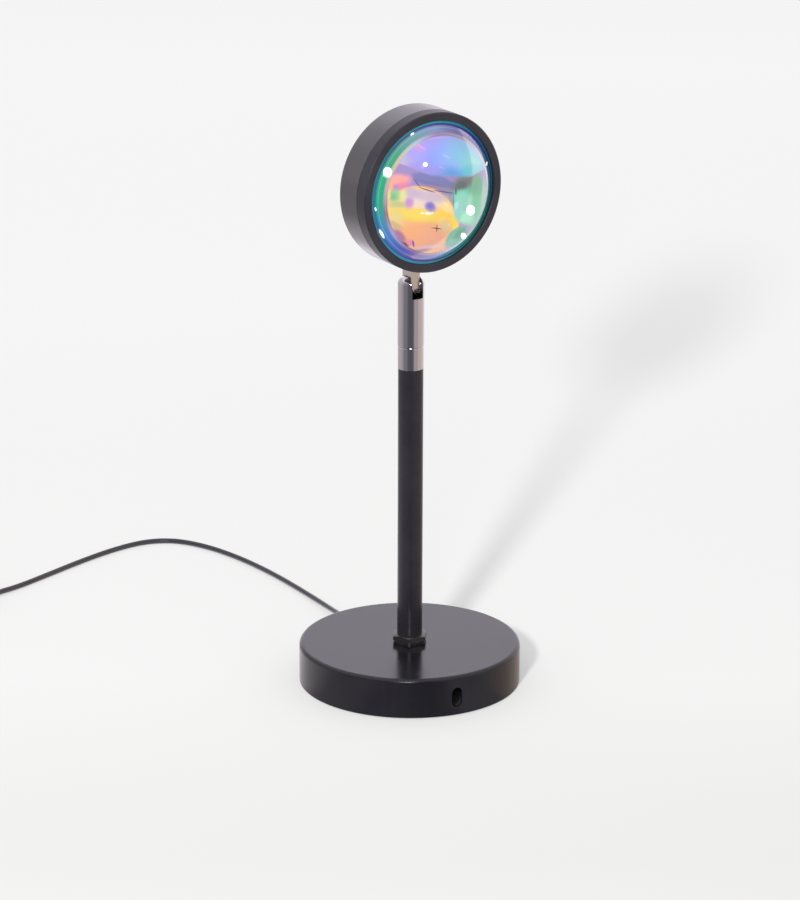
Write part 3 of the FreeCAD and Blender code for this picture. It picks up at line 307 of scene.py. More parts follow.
def coatedFinish(name, look):
    # paint, powder coat, plastic or rubber: grain, smudges and lighter edges
    material, tree, shader = newMaterial(name)
    look = {**coatedUsual, **look}
    gain, lift = look["lighten"]
    colour, lighter = look["colour"], tuple(min(1, c * gain + lift) for c in look["colour"])
    grain = useGroup(tree, grainGroup, Size=look["grainSize"])
    smudge = useGroup(tree, smudgeGroup, Patch=look["patch"])["Mask"]
    # a lighter tone on convex edges, found by pointiness
    convexRimMask = useGroup(tree, convexRimGroup)["Mask"]
    for mask, tint in ((smudge, "smudgeTint"), (grain["Speck"], "speckTint"), (convexRimMask, "edgeTint")):
        colour = mixColours(tree, mathNode(tree, "MULTIPLY", mask, look[tint]), colour, lighter)
    tree.links.new(colour, shader.inputs["Base Color"])
    rough, spread = look["roughness"], look["roughSpread"]
    tree.links.new(remap(tree, smudge, 0, 1, rough - spread, rough + spread), shader.inputs["Roughness"])
    addBump(tree, shader, grain["Height"], look)
    for socketName, key in (("IOR", "ior"), ("Coat Weight", "coat"), ("Coat Roughness", "coatRoughness")):
        shader.inputs[socketName].default_value = look[key]
    return material


def metalFinish(name, look):
    # plated or bare metal: brushing or faint polish marks, smudged roughness
    material, tree, shader = newMaterial(name)
    look = {**metalUsual, **look}
    lines = useGroup(tree, brushGroup, Stretch=look["stretch"], Size=look["lineSize"])["Height"]
    smudge = useGroup(tree, smudgeGroup, Patch=look["patch"])["Mask"]
    darker = tuple(c * look["darken"] for c in look["colour"])
    tone = mixColours(tree, mathNode(tree, "MULTIPLY", lines, look["lineTint"]), look["colour"], darker)
    tree.links.new(tone, shader.inputs["Base Color"])
    shader.inputs["Metallic"].default_value = 1.0
    rough, spread = look["roughness"], look["roughSpread"]
    tree.links.new(remap(tree, smudge, 0, 1, rough, rough + spread), shader.inputs["Roughness"])
    addBump(tree, shader, lines, look)
    return material


def dress(material, *names):
    for name in names:
        for slot in nodes[name].material_slots:
            slot.material = material


# base, stem and what is inside them
baseLooks = {
    "powderBlack": {"colour": (0.0045, 0.004, 0.006), "roughness": 0.2, "ior": 1.46, "grainSize": 0.0006,
                    "bump": 0.22, "bumpDepth": 0.00004, "patch": 0.03, "speckTint": 0.1, "smudgeTint": 0.15,
                    "edgeTint": 0.15},
    "stemBlack": {"colour": (0.0072, 0.0065, 0.0095), "roughness": 0.24, "ior": 1.4, "grainSize": 0.0004,
                  "bump": 0.1, "patch": 0.03, "speckTint": 0.05, "edgeTint": 0.1},
    "coverBlack": {"colour": (0.03, 0.03, 0.032), "roughness": 0.6, "grainSize": 0.001, "bump": 0.3},
    "foamBlack": {"colour": (0.02, 0.02, 0.02), "roughness": 0.85, "grainSize": 0.0012, "bump": 0.6,
                  "bumpDepth": 0.0001},
    "castIron": {"colour": (0.16, 0.155, 0.15), "roughness": 0.7, "grainSize": 0.0015, "bump": 0.6,
                 "bumpDepth": 0.0002}}
# nut_washer is black like the stem: it fills the gap under the nut, and its black stands in for the nut's
# dark contact shadow, painted shade
for names, key in ((("base_shell",), "powderBlack"), (("stem_tube", "nut_washer"), "stemBlack"),
                   (("bottom_cover",), "coverBlack"), (("foot_pad",), "foamBlack"),
                   (("base_weight",), "castIron")):
    dress(coatedFinish(key, baseLooks[key]), *names)

metalLooks = {
    "nutBronze": {"colour": (0.165, 0.15, 0.145), "roughness": 0.42, "lineTint": 0.4, "bump": 0.1},
    "jointChrome": {"colour": (0.66, 0.65, 0.66), "roughness": 0.06, "roughSpread": 0.03, "lineTint": 0.08,
                    "bump": 0.02},
    "zincSteel": {"colour": (0.62, 0.61, 0.58), "roughness": 0.3},
    "pinSteel": {"colour": (0.55, 0.55, 0.55), "roughness": 0.25},
    "tongueNickel": {"colour": (0.74, 0.675, 0.62), "roughness": 0.28, "stretch": (1.0, 1.0, 0.05),
                     "bump": 0.2},
    "plugNickel": {"colour": (0.7, 0.7, 0.7), "roughness": 0.22, "stretch": (0.05, 1.0, 1.0)},
    "contactGold": {"colour": (0.83, 0.62, 0.28), "roughness": 0.2},
    "boardAluminium": {"colour": (0.8, 0.81, 0.83), "roughness": 0.35}}
for names, key in ((("stem_nut",), "nutBronze"), (("swivel_ferrule", "swivel_clevis"), "jointChrome"),
                   (("base_washer", "base_nut", "base_nipple", "top_nipple", "swivel_clip", "board_screws",
                     "friction_washers"), "zincSteel"),
                   (("swivel_stop_pin", "hinge_screw"), "pinSteel"), (("head_tongue",), "tongueNickel"),
                   (("plug_shell",), "plugNickel"), (("plug_contacts",), "contactGold"),
                   (("led_board",), "boardAluminium")):
    dress(metalFinish(key, metalLooks[key]), *names)

softLooks = {
    "cordBlack": {"colour": (0.015, 0.014, 0.0175), "roughness": 0.25, "grainSize": 0.0003, "bump": 0.1},
    "leadBlack": {"colour": (0.015, 0.015, 0.015), "roughness": 0.5},
    "tieBlack": {"colour": (0.02, 0.02, 0.02), "roughness": 0.6},
    "plugBlack": {"colour": (0.02, 0.02, 0.021), "roughness": 0.45, "grainSize": 0.0005, "bump": 0.3},
    "insertWhite": {"colour": (0.8, 0.8, 0.78), "roughness": 0.35},
    "slideNylon": {"colour": (0.8, 0.79, 0.74), "roughness": 0.5},
    "gasketBlack": {"colour": (0.02, 0.02, 0.02), "roughness": 0.7},
    "padGrey": {"colour": (0.4, 0.42, 0.44), "roughness": 0.7},
    "chipBlack": {"colour": (0.025, 0.025, 0.025), "roughness": 0.45},
    "emitterYellow": {"colour": (0.85, 0.75, 0.35), "roughness": 0.12, "coat": 0.6, "coatRoughness": 0.05},
    "reflectorWhite": {"colour": (0.78, 0.78, 0.8), "roughness": 0.22, "coat": 0.3}}
for names, key in ((("strain_relief", "plug_relief"), "cordBlack"),
                   (("stem_lead", "clevis_lead", "head_lead"), "leadBlack"), (("coil_tie",), "tieBlack"),
                   (("plug_body",), "plugBlack"), (("plug_insert",), "insertWhite"),
                   (("swivel_washer",), "slideNylon"), (("lens_gasket",), "gasketBlack"),
                   (("thermal_pad",), "padGrey"), (("driver_chip", "chip_resistors"), "chipBlack"),
                   (("led_emitter",), "emitterYellow"), (("reflector",), "reflectorWhite")):
    material = coatedFinish(key, softLooks[key])
    dress(material, *names)
    if key == "cordBlack":
        cord.data.materials.append(material)
print("base, stem, joint and cord dressed")

# head shell
headLooks = {
    "housingBlack": {"colour": (0.0035, 0.003, 0.007), "roughness": 0.22, "ior": 2.3, "grainSize": 0.0004,
                     "bump": 0.1, "edgeTint": 0.2},
    "ringBlack": {"colour": (0.0083, 0.008, 0.0125), "roughness": 0.4, "grainSize": 0.0004, "bump": 0.2,
                  "edgeTint": 0.25}}
dress(coatedFinish("housingBlack", headLooks["housingBlack"]), "head_housing")
dress(coatedFinish("ringBlack", headLooks["ringBlack"]), "front_ring")

# lens, in metres: a plano-convex dome on a thin flange; its coloured coating follows below
lensSetup = {"axisHeight": 0.2555, "ballRadius": 0.05075, "domeRadius": 0.035, "seat": 0.0173,
             "sag": 0.014, "flangeRadius": 0.0361, "flangeBack": 0.0153, "segments": 128, "rings": 28,
             "sharpAngle": 35}


def latheForward(name, profile, setup):
    # (radius, forward) profile turned about the head's axis, which runs along -Y
    segments, axisHeight = setup["segments"], setup["axisHeight"]
    vertices, faces, starts = [], [], []
    for radius, forward in profile:
        starts.append((len(vertices), radius == 0))
        for step in range(segments if radius else 1):
            angle = 2 * math.pi * step / segments
            vertices.append((radius * math.cos(angle), -forward, axisHeight + radius * math.sin(angle)))
    for (near, nearTip), (far, farTip) in zip(starts, starts[1:]):
        for step in range(segments):
            following = (step + 1) % segments
            if nearTip:
                faces.append((near, far + step, far + following))
            elif farTip:
                faces.append((near + step, far, near + following))
            else:
                faces.append((near + step, far + step, far + following, near + following))
    mesh = bpy.data.meshes.new(name)
    mesh.from_pydata(vertices, [], faces)
    mesh.validate()
    mesh.update()
    mesh.polygons.foreach_set("use_smooth", [True] * len(mesh.polygons))
    mesh.set_sharp_from_angle(angle=setup["sharpAngle"] * degree)
    thing = bpy.data.objects.new(name, mesh)
    scene.collection.objects.link(thing)
    return thing


def makeLens(setup):
    widest = math.asin(setup["domeRadius"] / setup["ballRadius"])
    ballCentre = setup["seat"] + setup["sag"] - setup["ballRadius"]
    profile = [(0, setup["flangeBack"]), (setup["flangeRadius"], setup["flangeBack"]),
               (setup["flangeRadius"], setup["seat"]), (setup["domeRadius"], setup["seat"])]
    for ring in range(setup["rings"], -1, -1):
        angle = widest * ring / setup["rings"]
        profile.append((setup["ballRadius"] * math.sin(angle) if ring else 0,
                        ballCentre + setup["ballRadius"] * math.cos(angle)))
    lens = latheForward("lensDome", profile, setup)
    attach(lens, "lamp_head")
    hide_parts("lens")
    return lens


def makeSpotGroup():
    # soft-edged turned ellipse in a flat pattern plane
    tree, given, result = newGroup(
        "softSpot", {"Place": ("vector", None), "Centre": ("vector", None), "Size": ("vector", (1, 1, 1)),
                     "Turn": ("number", 0.0), "Soft": ("number", 0.2), "Strength": ("number", 1.0)},
        {"Mask": ("number", None)})
    apart = vectorNode(tree, "SUBTRACT", given["Place"], given["Centre"])
    back = mathNode(tree, "MULTIPLY", given["Turn"], -1.0)
    rotate = addNode(tree, "ShaderNodeVectorRotate", rotation_type="Z_AXIS")
    tree.links.new(apart, rotate.inputs["Vector"])
    tree.links.new(back, rotate.inputs["Angle"])
    reach = vectorNode(tree, "LENGTH", vectorNode(tree, "DIVIDE", rotate.outputs[0], given["Size"]))
    inner = mathNode(tree, "SUBTRACT", 1.0, given["Soft"])
    outer = mathNode(tree, "ADD", 1.0, given["Soft"])
    mask = remap(tree, reach, inner, outer, 1.0, 0.0, smooth=True)
    tree.links.new(mathNode(tree, "MULTIPLY", mask, given["Strength"]), result["Mask"])
    return tree


spotGroup = makeSpotGroup()


def shown(colour):
    # a colour as it looks on a screen, 0 to 255, as the linear value that a shader takes
    return tuple(((c / 255 + 0.055) / 1.055) ** 2.4 if c > 10 else c / 255 / 12.92 for c in colour)


def makeHalfGroup():
    # 1 on the side of a straight line that Facing points to
    tree, given, result = newGroup(
        "halfPlane", {"Place": ("vector", None), "Through": ("vector", None), "Facing": ("vector", None),
                      "Soft": ("number", 0.2)}, {"Mask": ("number", None)})
    apart = vectorNode(tree, "SUBTRACT", given["Place"], given["Through"])
    reach = vectorNode(tree, "DOT_PRODUCT", apart, given["Facing"])
    mask = remap(tree, reach, mathNode(tree, "MULTIPLY", given["Soft"], -1.0), given["Soft"], smooth=True)
    tree.links.new(mask, result["Mask"])
    return tree


halfGroup = makeHalfGroup()

# the coating's colours, 0 to 255 as on a screen, in millimetres across and up a plane that faces the
# photographer. An arc, a painted reflection, has its radius, width, colour and strength; a sky edge a point,
# the way it faces and its softness; a rim band its inner radius, softness and colours by share of a turn
# clockwise from the top; a patch its centre, half sizes, turn in degrees, softness, colour and strength; a
# glint, a painted highlight, is a white patch. "dim" and "shade" are the shares of black in the painted
# glow and in the base colour
coating = {
    "planeCentre": (0.0, -0.0193, 0.2555), "across": (0.8343, -0.5513, 0.0035),
    "upward": (0.1717, 0.2660, 0.9486),
    "dim": 0.6, "shade": 0.55, "clearness": 0.25, "roughness": 0.03, "ior": 1.25,
    "ground": {"field": (156, 138, 186), "sky": (168, 154, 222)},
    "finest": 1.0, "wobbleScale": 0.3, "wobbleDetail": 3.0, "wobbleReach": (1.0, 0.8, 0),
    # painted reflections: pale arcs near the rim
    "arcs": [(32.2, 0.35, (196, 206, 216), 0.2), (29.5, 0.25, (214, 206, 214), 0.3)],
    "skyEdges": [((10.2, 2.8), (-0.542, 0.840), 0.25), ((-2.3, 7.6), (0.358, 0.934), 0.5),
                 ((-2.3, 7.6), (0.0, 1.0), 1.4)],
    "bands": [
        (28.7, 0.35, [(0.0, (146, 122, 160)), (0.1, (160, 146, 160)), (0.16, (196, 192, 202)),
                      (0.25, (206, 204, 212)), (0.38, (188, 208, 206)), (0.45, (168, 190, 200)),
                      (0.5, (150, 138, 160)), (0.58, (124, 94, 152)), (0.66, (150, 140, 190)),
                      (0.72, (124, 96, 116)), (0.78, (166, 150, 160)), (0.86, (190, 176, 152)),
                      (0.93, (172, 184, 196)), (1.0, (146, 122, 160))]),
        (30.3, 0.3, [(0.0, (132, 146, 186)), (0.06, (104, 104, 164)), (0.12, (66, 74, 152)),
                     (0.18, (34, 84, 132)), (0.25, (4, 98, 118)), (0.32, (12, 112, 102)),
                     (0.38, (22, 132, 108)), (0.44, (54, 142, 152)), (0.5, (92, 122, 182)),
                     (0.55, (112, 94, 166)), (0.6, (82, 92, 170)), (0.66, (72, 122, 186)),
                     (0.7, (62, 134, 164)), (0.75, (42, 156, 124)), (0.82, (48, 160, 118)),
                     (0.88, (74, 152, 124)), (0.94, (110, 152, 164)), (1.0, (132, 146, 186))]),
        (33.1, 0.2, [(0.0, (74, 72, 142)), (0.12, (52, 48, 122)), (0.25, (4, 54, 84)), (0.38, (8, 74, 84)),
                     (0.5, (102, 62, 142)), (0.62, (62, 92, 162)), (0.75, (42, 112, 132)),
                     (0.88, (62, 92, 124)), (1.0, (74, 72, 142))]),
        (34.1, 0.15, [(0.0, (54, 166, 172)), (0.12, (42, 112, 150)), (0.2, (22, 92, 112)),
                      (0.3, (12, 112, 112)), (0.42, (34, 132, 132)), (0.5, (72, 162, 172)),
                      (0.6, (62, 152, 182)), (0.7, (62, 132, 172)), (0.8, (62, 152, 172)),
                      (0.9, (54, 162, 162)), (1.0, (54, 166, 172))])],
    "sky": [
        ((0.1, 16.5), (25.12, 15.94), 0, 0.9, (168, 154, 222), 1),
        ((-17.3, 12.2), (5.8, 7.73), 30, 0.7, (186, 176, 206), 0.9),
        ((-18.7, 17.5), (3.38, 7.25), -38, 0.6, (176, 180, 190), 0.9),
        ((-12.5, 23.3), (6.28, 3.38), 25, 0.7, (170, 146, 206), 0.8),
        ((0.1, 24.7), (7.25, 2.9), 0, 0.8, (170, 150, 226), 0.9),
        ((-2.3, 18.9), (8.21, 5.31), 0, 0.8, (170, 160, 236), 0.9),
        ((2.5, 14.1), (8.21, 7.25), 0, 0.8, (146, 158, 238), 1),
        ((9.3, 18.9), (7.25, 7.73), 0, 0.8, (146, 178, 238), 1),
        ((15.6, 18.0), (7.25, 7.25), -30, 0.8, (140, 196, 226), 1),
        ((18.9, 14.1), (4.83, 4.35), -30, 0.7, (140, 214, 214), 1),
        ((16.0, 9.8), (5.31, 2.9), 30, 0.6, (116, 200, 212), 1),
        ((7.8, 7.3), (6.28, 3.86), 0, 0.7, (96, 160, 220), 1),
        ((-6.2, 9.8), (9.66, 2.9), 0, 0.7, (158, 146, 220), 0.9),
        ((10.2, 4.4), (2.9, 1.93), 0, 0.6, (84, 156, 206), 1),
        ((-14.9, 7.3), (7.73, 1.93), 0, 0.6, (196, 160, 190), 0.8),
        ((-6.9, 21.4), (3.0, 0.68), -32, 0.7, (232, 160, 206), 0.8),
        ((-8.1, 19.9), (2.51, 0.48), -32, 0.7, (226, 150, 190), 0.6),
        ((5.9, 16.8), (1.93, 0.43), -25, 0.7, (190, 200, 240), 0.5),
        ((0.6, 25.5), (5.8, 0.48), 8, 0.7, (196, 170, 226), 0.5),
        ((3.5, 11.4), (1.26, 0.29), -20, 0.7, (186, 196, 240), 0.5),
        ((-16.4, 10.2), (0.68, 2.9), -20, 0.7, (214, 196, 224), 0.5)],
    "field": [
        ((-2.3, 0.6), (20.29, 8.21), 0, 0.5, (156, 138, 186), 1),
        ((0.1, 4.7), (10.87, 3.19), -14, 0.15, (120, 122, 172), 0.85),
        ((-2.3, 3.7), (8.21, 0.97), -14, 0.6, (120, 118, 165), 0.7),
        ((1.5, 1.1), (9.18, 1.35), -8, 0.3, (158, 132, 152), 0.9),
        ((-6.2, -1.1), (9.18, 1.93), -5, 0.5, (158, 146, 200), 0.9),
        ((6.4, -1.8), (3.62, 3.38), 0, 0.5, (150, 140, 165), 0.9),
        ((-6.2, -13.4), (17.58, 15.36), -12, 0.05, (255, 190, 84), 1),
        ((-6.9, -13.2), (17.0, 14.78), -12, 0.1, (244, 196, 120), 1),
        ((-6.2, -20.2), (14.49, 8.21), -6, 0.6, (230, 168, 126), 1),
        ((0.6, -22.1), (6.28, 5.8), 0, 0.7, (232, 166, 140), 0.9),
        ((-10.5, -11.0), (13.04, 3.0), -5, 0.5, (222, 196, 92), 1),
        ((-2.3, -11.3), (12.56, 2.51), -4, 0.6, (236, 204, 104), 0.9),
        ((6.4, -11.5), (3.86, 5.31), 10, 0.6, (252, 200, 92), 1),
        ((10.0, -14.4), (1.45, 3.62), 10, 0.5, (255, 212, 70), 1),
        ((4.9, -6.2), (5.31, 2.17), -38, 0.5, (250, 212, 150), 1),
        ((4.0, -4.5), (3.38, 0.68), -38, 0.5, (255, 238, 130), 1),
        ((-4.3, -5.0), (9.18, 3.0), 0, 0.5, (224, 202, 190), 1),
        ((5.4, -15.8), (2.66, 2.9), 0, 0.6, (214, 190, 150), 0.8),
        ((-17.3, 5.4), (5.8, 2.32), 0, 0.6, (238, 160, 156), 1),
        ((-14.6, 2.0), (2.9, 2.42), 0, 0.7, (232, 130, 146), 0.7),
        ((-21.4, 2.5), (1.93, 3.38), 0, 0.6, (255, 166, 120), 1),
        ((-18.7, -2.3), (3.0, 2.8), 0, 0.6, (150, 190, 140), 1),
        ((-19.5, -3.0), (1.45, 1.74), 0, 0.8, (116, 172, 138), 0.7),
        ((-13.9, -1.8), (2.17, 2.51), 0, 0.6, (206, 214, 150), 0.9),
        ((-21.9, -1.8), (1.06, 2.9), 0, 0.6, (230, 205, 120), 0.9),
        ((-17.3, -6.4), (5.07, 1.55), 0, 0.6, (176, 184, 140), 0.9),
        ((-11.7, -5.2), (1.93, 2.71), -8, 0.7, (172, 128, 204), 0.85),
        ((-11.3, -5.9), (1.06, 1.55), 0, 0.7, (206, 140, 206), 0.5),
        ((-18.3, -12.9), (3.62, 4.35), 25, 0.7, (206, 196, 150), 0.6),
        ((-18.7, -15.8), (3.62, 1.26), -30, 0.6, (170, 158, 120), 0.6),
        ((-3.0, -2.3), (9.0, 2.6), -6, 0.5, (200, 180, 196), 1),
        ((-10.0, -0.6), (3.4, 2.3), -10, 0.6, (188, 170, 196), 0.9),
        ((-1.6, -7.4), (3.0, 2.42), -30, 0.35, (184, 160, 180), 0.9),
        ((-1.8, -7.1), (2.22, 1.93), -30, 0.35, (140, 130, 200), 1),
        ((-1.9, -6.9), (1.06, 0.97), 0, 0.7, (116, 108, 186), 0.7),
        ((-16.6, -20.9), (4.25, 1.93), -40, 0.5, (146, 98, 150), 0.8),
        ((-14.2, -24.8), (2.32, 0.97), -20, 0.4, (62, 78, 70), 0.95),
        ((-11.5, -24.0), (1.84, 1.26), -20, 0.4, (226, 134, 156), 0.95),
        ((-9.8, -24.4), (0.48, 1.64), 12, 0.4, (96, 84, 176), 0.9),
        ((-10.5, -27.3), (3.19, 0.97), 12, 0.4, (236, 160, 112), 0.95),
        ((-14.2, -28.0), (2.03, 0.63), -45, 0.4, (240, 150, 110), 0.9),
        ((-6.2, -27.7), (5.31, 0.77), 10, 0.4, (150, 132, 150), 0.8),
        ((-2.3, -25.7), (8.21, 0.68), 6, 0.5, (214, 178, 206), 0.8),
        ((11.0, -20.7), (6.28, 3.57), 42, 0.15, (84, 168, 150), 1),
        ((12.9, -19.0), (3.38, 1.74), 42, 0.5, (40, 148, 120), 1),
        ((7.8, -23.6), (2.9, 1.35), 35, 0.5, (110, 178, 166), 0.9),
        ((2.9, -24.6), (2.51, 0.58), 62, 0.4, (216, 178, 146), 0.8),
        ((0.6, -27.9), (2.13, 0.39), 66, 0.4, (230, 160, 140), 0.8),
        ((17.5, -3.3), (8.6, 11.98), 0, 0.035, (112, 184, 160), 1),
        ((15.1, 5.4), (7.25, 2.9), 30, 0.4, (126, 126, 124), 1),
        ((13.1, 3.2), (2.9, 1.93), 30, 0.5, (104, 110, 120), 0.9),
        ((20.9, 2.5), (2.9, 6.28), -8, 0.35, (60, 160, 126), 1),
        ((20.4, -5.7), (4.35, 5.31), 0, 0.5, (76, 186, 142), 1),
        ((13.9, -3.3), (4.11, 4.11), 0, 0.5, (148, 214, 194), 1),
        ((11.9, -8.4), (2.51, 4.35), -12, 0.5, (162, 210, 206), 1),
        ((15.1, -11.5), (3.86, 2.9), 0, 0.5, (146, 222, 192), 1),
        ((23.8, -1.8), (0.87, 9.18), -4, 0.5, (150, 190, 170), 0.9),
        ((-8.1, 3.7), (2.51, 0.29), -48, 0.4, (86, 84, 150), 0.9),
        ((-3.3, 0.6), (3.86, 0.29), -16, 0.4, (86, 84, 156), 0.95),
        ((4.9, -0.1), (5.31, 0.29), -6, 0.4, (80, 92, 150), 0.95),
        ((10.5, 0.6), (0.39, 1.74), 0, 0.4, (70, 100, 130), 0.9),
        ((9.3, -4.3), (0.24, 3.38), 0, 0.5, (110, 90, 100), 0.7),
        ((1.4, -17.2), (2.42, 0.24), -6, 0.4, (74, 64, 86), 1),
        ((1.4, -17.2), (0.24, 1.74), -4, 0.4, (74, 64, 86), 1),
        # three white patches below the LED's image: painted highlights
        ((-5.6, -10.3), (0.77, 0.29), 0, 0.5, (255, 255, 250), 1),
        ((-2.9, -10.4), (1.45, 0.53), 0, 0.5, (255, 255, 250), 1),
        ((-0.8, -10.2), (0.58, 0.29), 0, 0.5, (255, 250, 240), 1),
        ((-23.3, -4.3), (0.34, 8.21), 2, 0.5, (255, 150, 84), 0.9)],
    # painted highlights: white spots at fixed places on the coating
    "paintedGlints": [
        ((-22.1, 8.9), (1.95, 2.1), 0, 0.15),
        ((17.7, -8.0), (1.98, 2.32), -15, 0.12),
        ((14.4, -20.0), (1.26, 1.3), 0, 0.15),
        ((-4.2, 12.6), (1.01, 0.92), 0, 0.25),
        ((-10.3, 27.2), (0.9, 0.36), 32, 0.4),
        ((25.5, 14.8), (0.3, 0.95), -12, 0.4),
        ((-24.9, -20.0), (0.5, 2.0), 30, 0.45),
        ((-27.8, -8.6), (0.29, 0.77), 12, 0.5),
        ((-17.8, 25.1), (0.58, 0.24), 40, 0.5)]}


def colourByTurn(tree, share, stops):
    ramp = addNode(tree, "ShaderNodeValToRGB")
    marks = ramp.color_ramp.elements
    while len(marks) > 1:
        marks.remove(marks[-1])
    for number, (position, tone) in enumerate(stops):
        mark = marks[0] if number == 0 else marks.new(position)
        mark.position = position
        mark.color = (*tone, 1)
    tree.links.new(share, ramp.inputs[0])
    return ramp.outputs[0]


def paintPatches(tree, flat, setup, kind):
    # patches broader than the finest size are drawn with a slight wobble, as reflections are
    wobble = mathNode(tree, "SUBTRACT", noise(tree, flat, setup["wobbleScale"], setup["wobbleDetail"]), 0.5)
    moved = vectorNode(tree, "ADD", flat, vectorNode(tree, "SCALE", setup["wobbleReach"], scale=wobble))
    colour = shown(setup["ground"][kind])
    for centre, size, turn, soft, tone, strength in setup[kind]:
        mask = useGroup(tree, spotGroup, Place=flat if min(size) < setup["finest"] else moved,
                        Centre=(*centre, 0), Size=(*size, 1), Turn=turn * degree, Soft=soft,
                        Strength=strength)["Mask"]
        colour = mixColours(tree, mask, colour, shown(tone))
    return colour


def coatingFinish(setup):
    material, tree, shader = newMaterial("coatedLens")
    fromCentre = vectorNode(tree, "SUBTRACT", objectPlace(tree), setup["planeCentre"])
    place = vectorNode(tree, "SCALE", fromCentre, scale=1000.0)
    across = vectorNode(tree, "DOT_PRODUCT", place, setup["across"])
    upward = vectorNode(tree, "DOT_PRODUCT", place, setup["upward"])
    flatJoin = addNode(tree, "ShaderNodeCombineXYZ")
    tree.links.new(across, flatJoin.inputs[0])
    tree.links.new(upward, flatJoin.inputs[1])
    flat = flatJoin.outputs[0]
    field = paintPatches(tree, flat, setup, "field")
    sky = paintPatches(tree, flat, setup, "sky")
    above = None
    for through, facing, soft in setup["skyEdges"]:
        mask = useGroup(tree, halfGroup, Place=flat, Through=(*through, 0), Facing=(*facing, 0),
                        Soft=soft)["Mask"]
        above = mask if above is None else mathNode(tree, "MULTIPLY", above, mask)
    colour = mixColours(tree, above, field, sky)
    # rim bands follow the lens's own radius
    level = vectorNode(tree, "MULTIPLY", place, (1.0, 0.0, 1.0))
    radius = vectorNode(tree, "LENGTH", level)
    apart = addNode(tree, "ShaderNodeSeparateXYZ")
    tree.links.new(level, apart.inputs[0])
    angle = mathNode(tree, "ARCTAN2", apart.outputs[0], apart.outputs[2])
    around = mathNode(tree, "DIVIDE", angle, 2 * math.pi)
    share = mathNode(tree, "FRACT", mathNode(tree, "ADD", around, 1.0))
    for inner, soft, stops in setup["bands"]:
        tone = colourByTurn(tree, share, [(position, shown(c)) for position, c in stops])
        colour = mixColours(tree, remap(tree, radius, inner - soft, inner + soft, smooth=True), colour, tone)
    # pale arcs near the rim: painted reflections of the surroundings at the glass's grazing edge
    for arcRadius, width, tone, strength in setup["arcs"]:
        apartFrom = mathNode(tree, "ABSOLUTE", mathNode(tree, "SUBTRACT", radius, arcRadius))
        line = remap(tree, apartFrom, 0.0, width, strength, 0.0, smooth=True)
        colour = mixColours(tree, line, colour, shown(tone))
    # painted highlights: white spots that lighten both the base colour and the glow
    paintedShine = None
    for centre, size, turn, soft in setup["paintedGlints"]:
        mask = useGroup(tree, spotGroup, Place=flat, Centre=(*centre, 0), Size=(*size, 1),
                        Turn=turn * degree, Soft=soft)["Mask"]
        paintedShine = mask if paintedShine is None else mathNode(tree, "MAXIMUM", paintedShine, mask)
    white, black = (1.0, 1.0, 1.0), (0.0, 0.0, 0.0)
    lit = mixColours(tree, setup["shade"], colour, black)
    tree.links.new(mixColours(tree, paintedShine, lit, white), shader.inputs["Base Color"])
    # painted light: the coating glows with its own colours and painted highlights, whatever lamps fall on it
    glow = mixColours(tree, setup["dim"], colour, black)
    tree.links.new(mixColours(tree, paintedShine, glow, white), shader.inputs["Emission Color"])
    shader.inputs["Emission Strength"].default_value = 1.0
    for socketName, key in (("Roughness", "roughness"), ("IOR", "ior"), ("Transmission Weight", "clearness")):
        shader.inputs[socketName].default_value = setup[key]
    return material


lens = makeLens(lensSetup)
lens.data.materials.append(coatingFinish(coating))


def filterFinish():
    # colour-coated glass disc: colours from bottom to top and towards one side, and a thin-film sheen
    material, tree, shader = newMaterial("coatedFilter")
    place = vectorNode(tree, "SUBTRACT", objectPlace(tree), coating["planeCentre"])
    apart = addNode(tree, "ShaderNodeSeparateXYZ")
    tree.links.new(place, apart.inputs[0])
    tilt = remap(tree, apart.outputs[2], -0.03, 0.03)
    lower = mixColours(tree, tilt, shown((240, 170, 120)), shown((150, 140, 220)))
    side = remap(tree, apart.outputs[0], -0.03, 0.03, smooth=True)
    tone = mixColours(tree, mathNode(tree, "MULTIPLY", side, 0.6), lower, shown((80, 180, 160)))
    tree.links.new(tone, shader.inputs["Base Color"])
    shader.inputs["Roughness"].default_value = 0.05
    shader.inputs["Thin Film Thickness"].default_value = 420
    return material


dress(filterFinish(), "colour_filter")
print("lens and coating made")

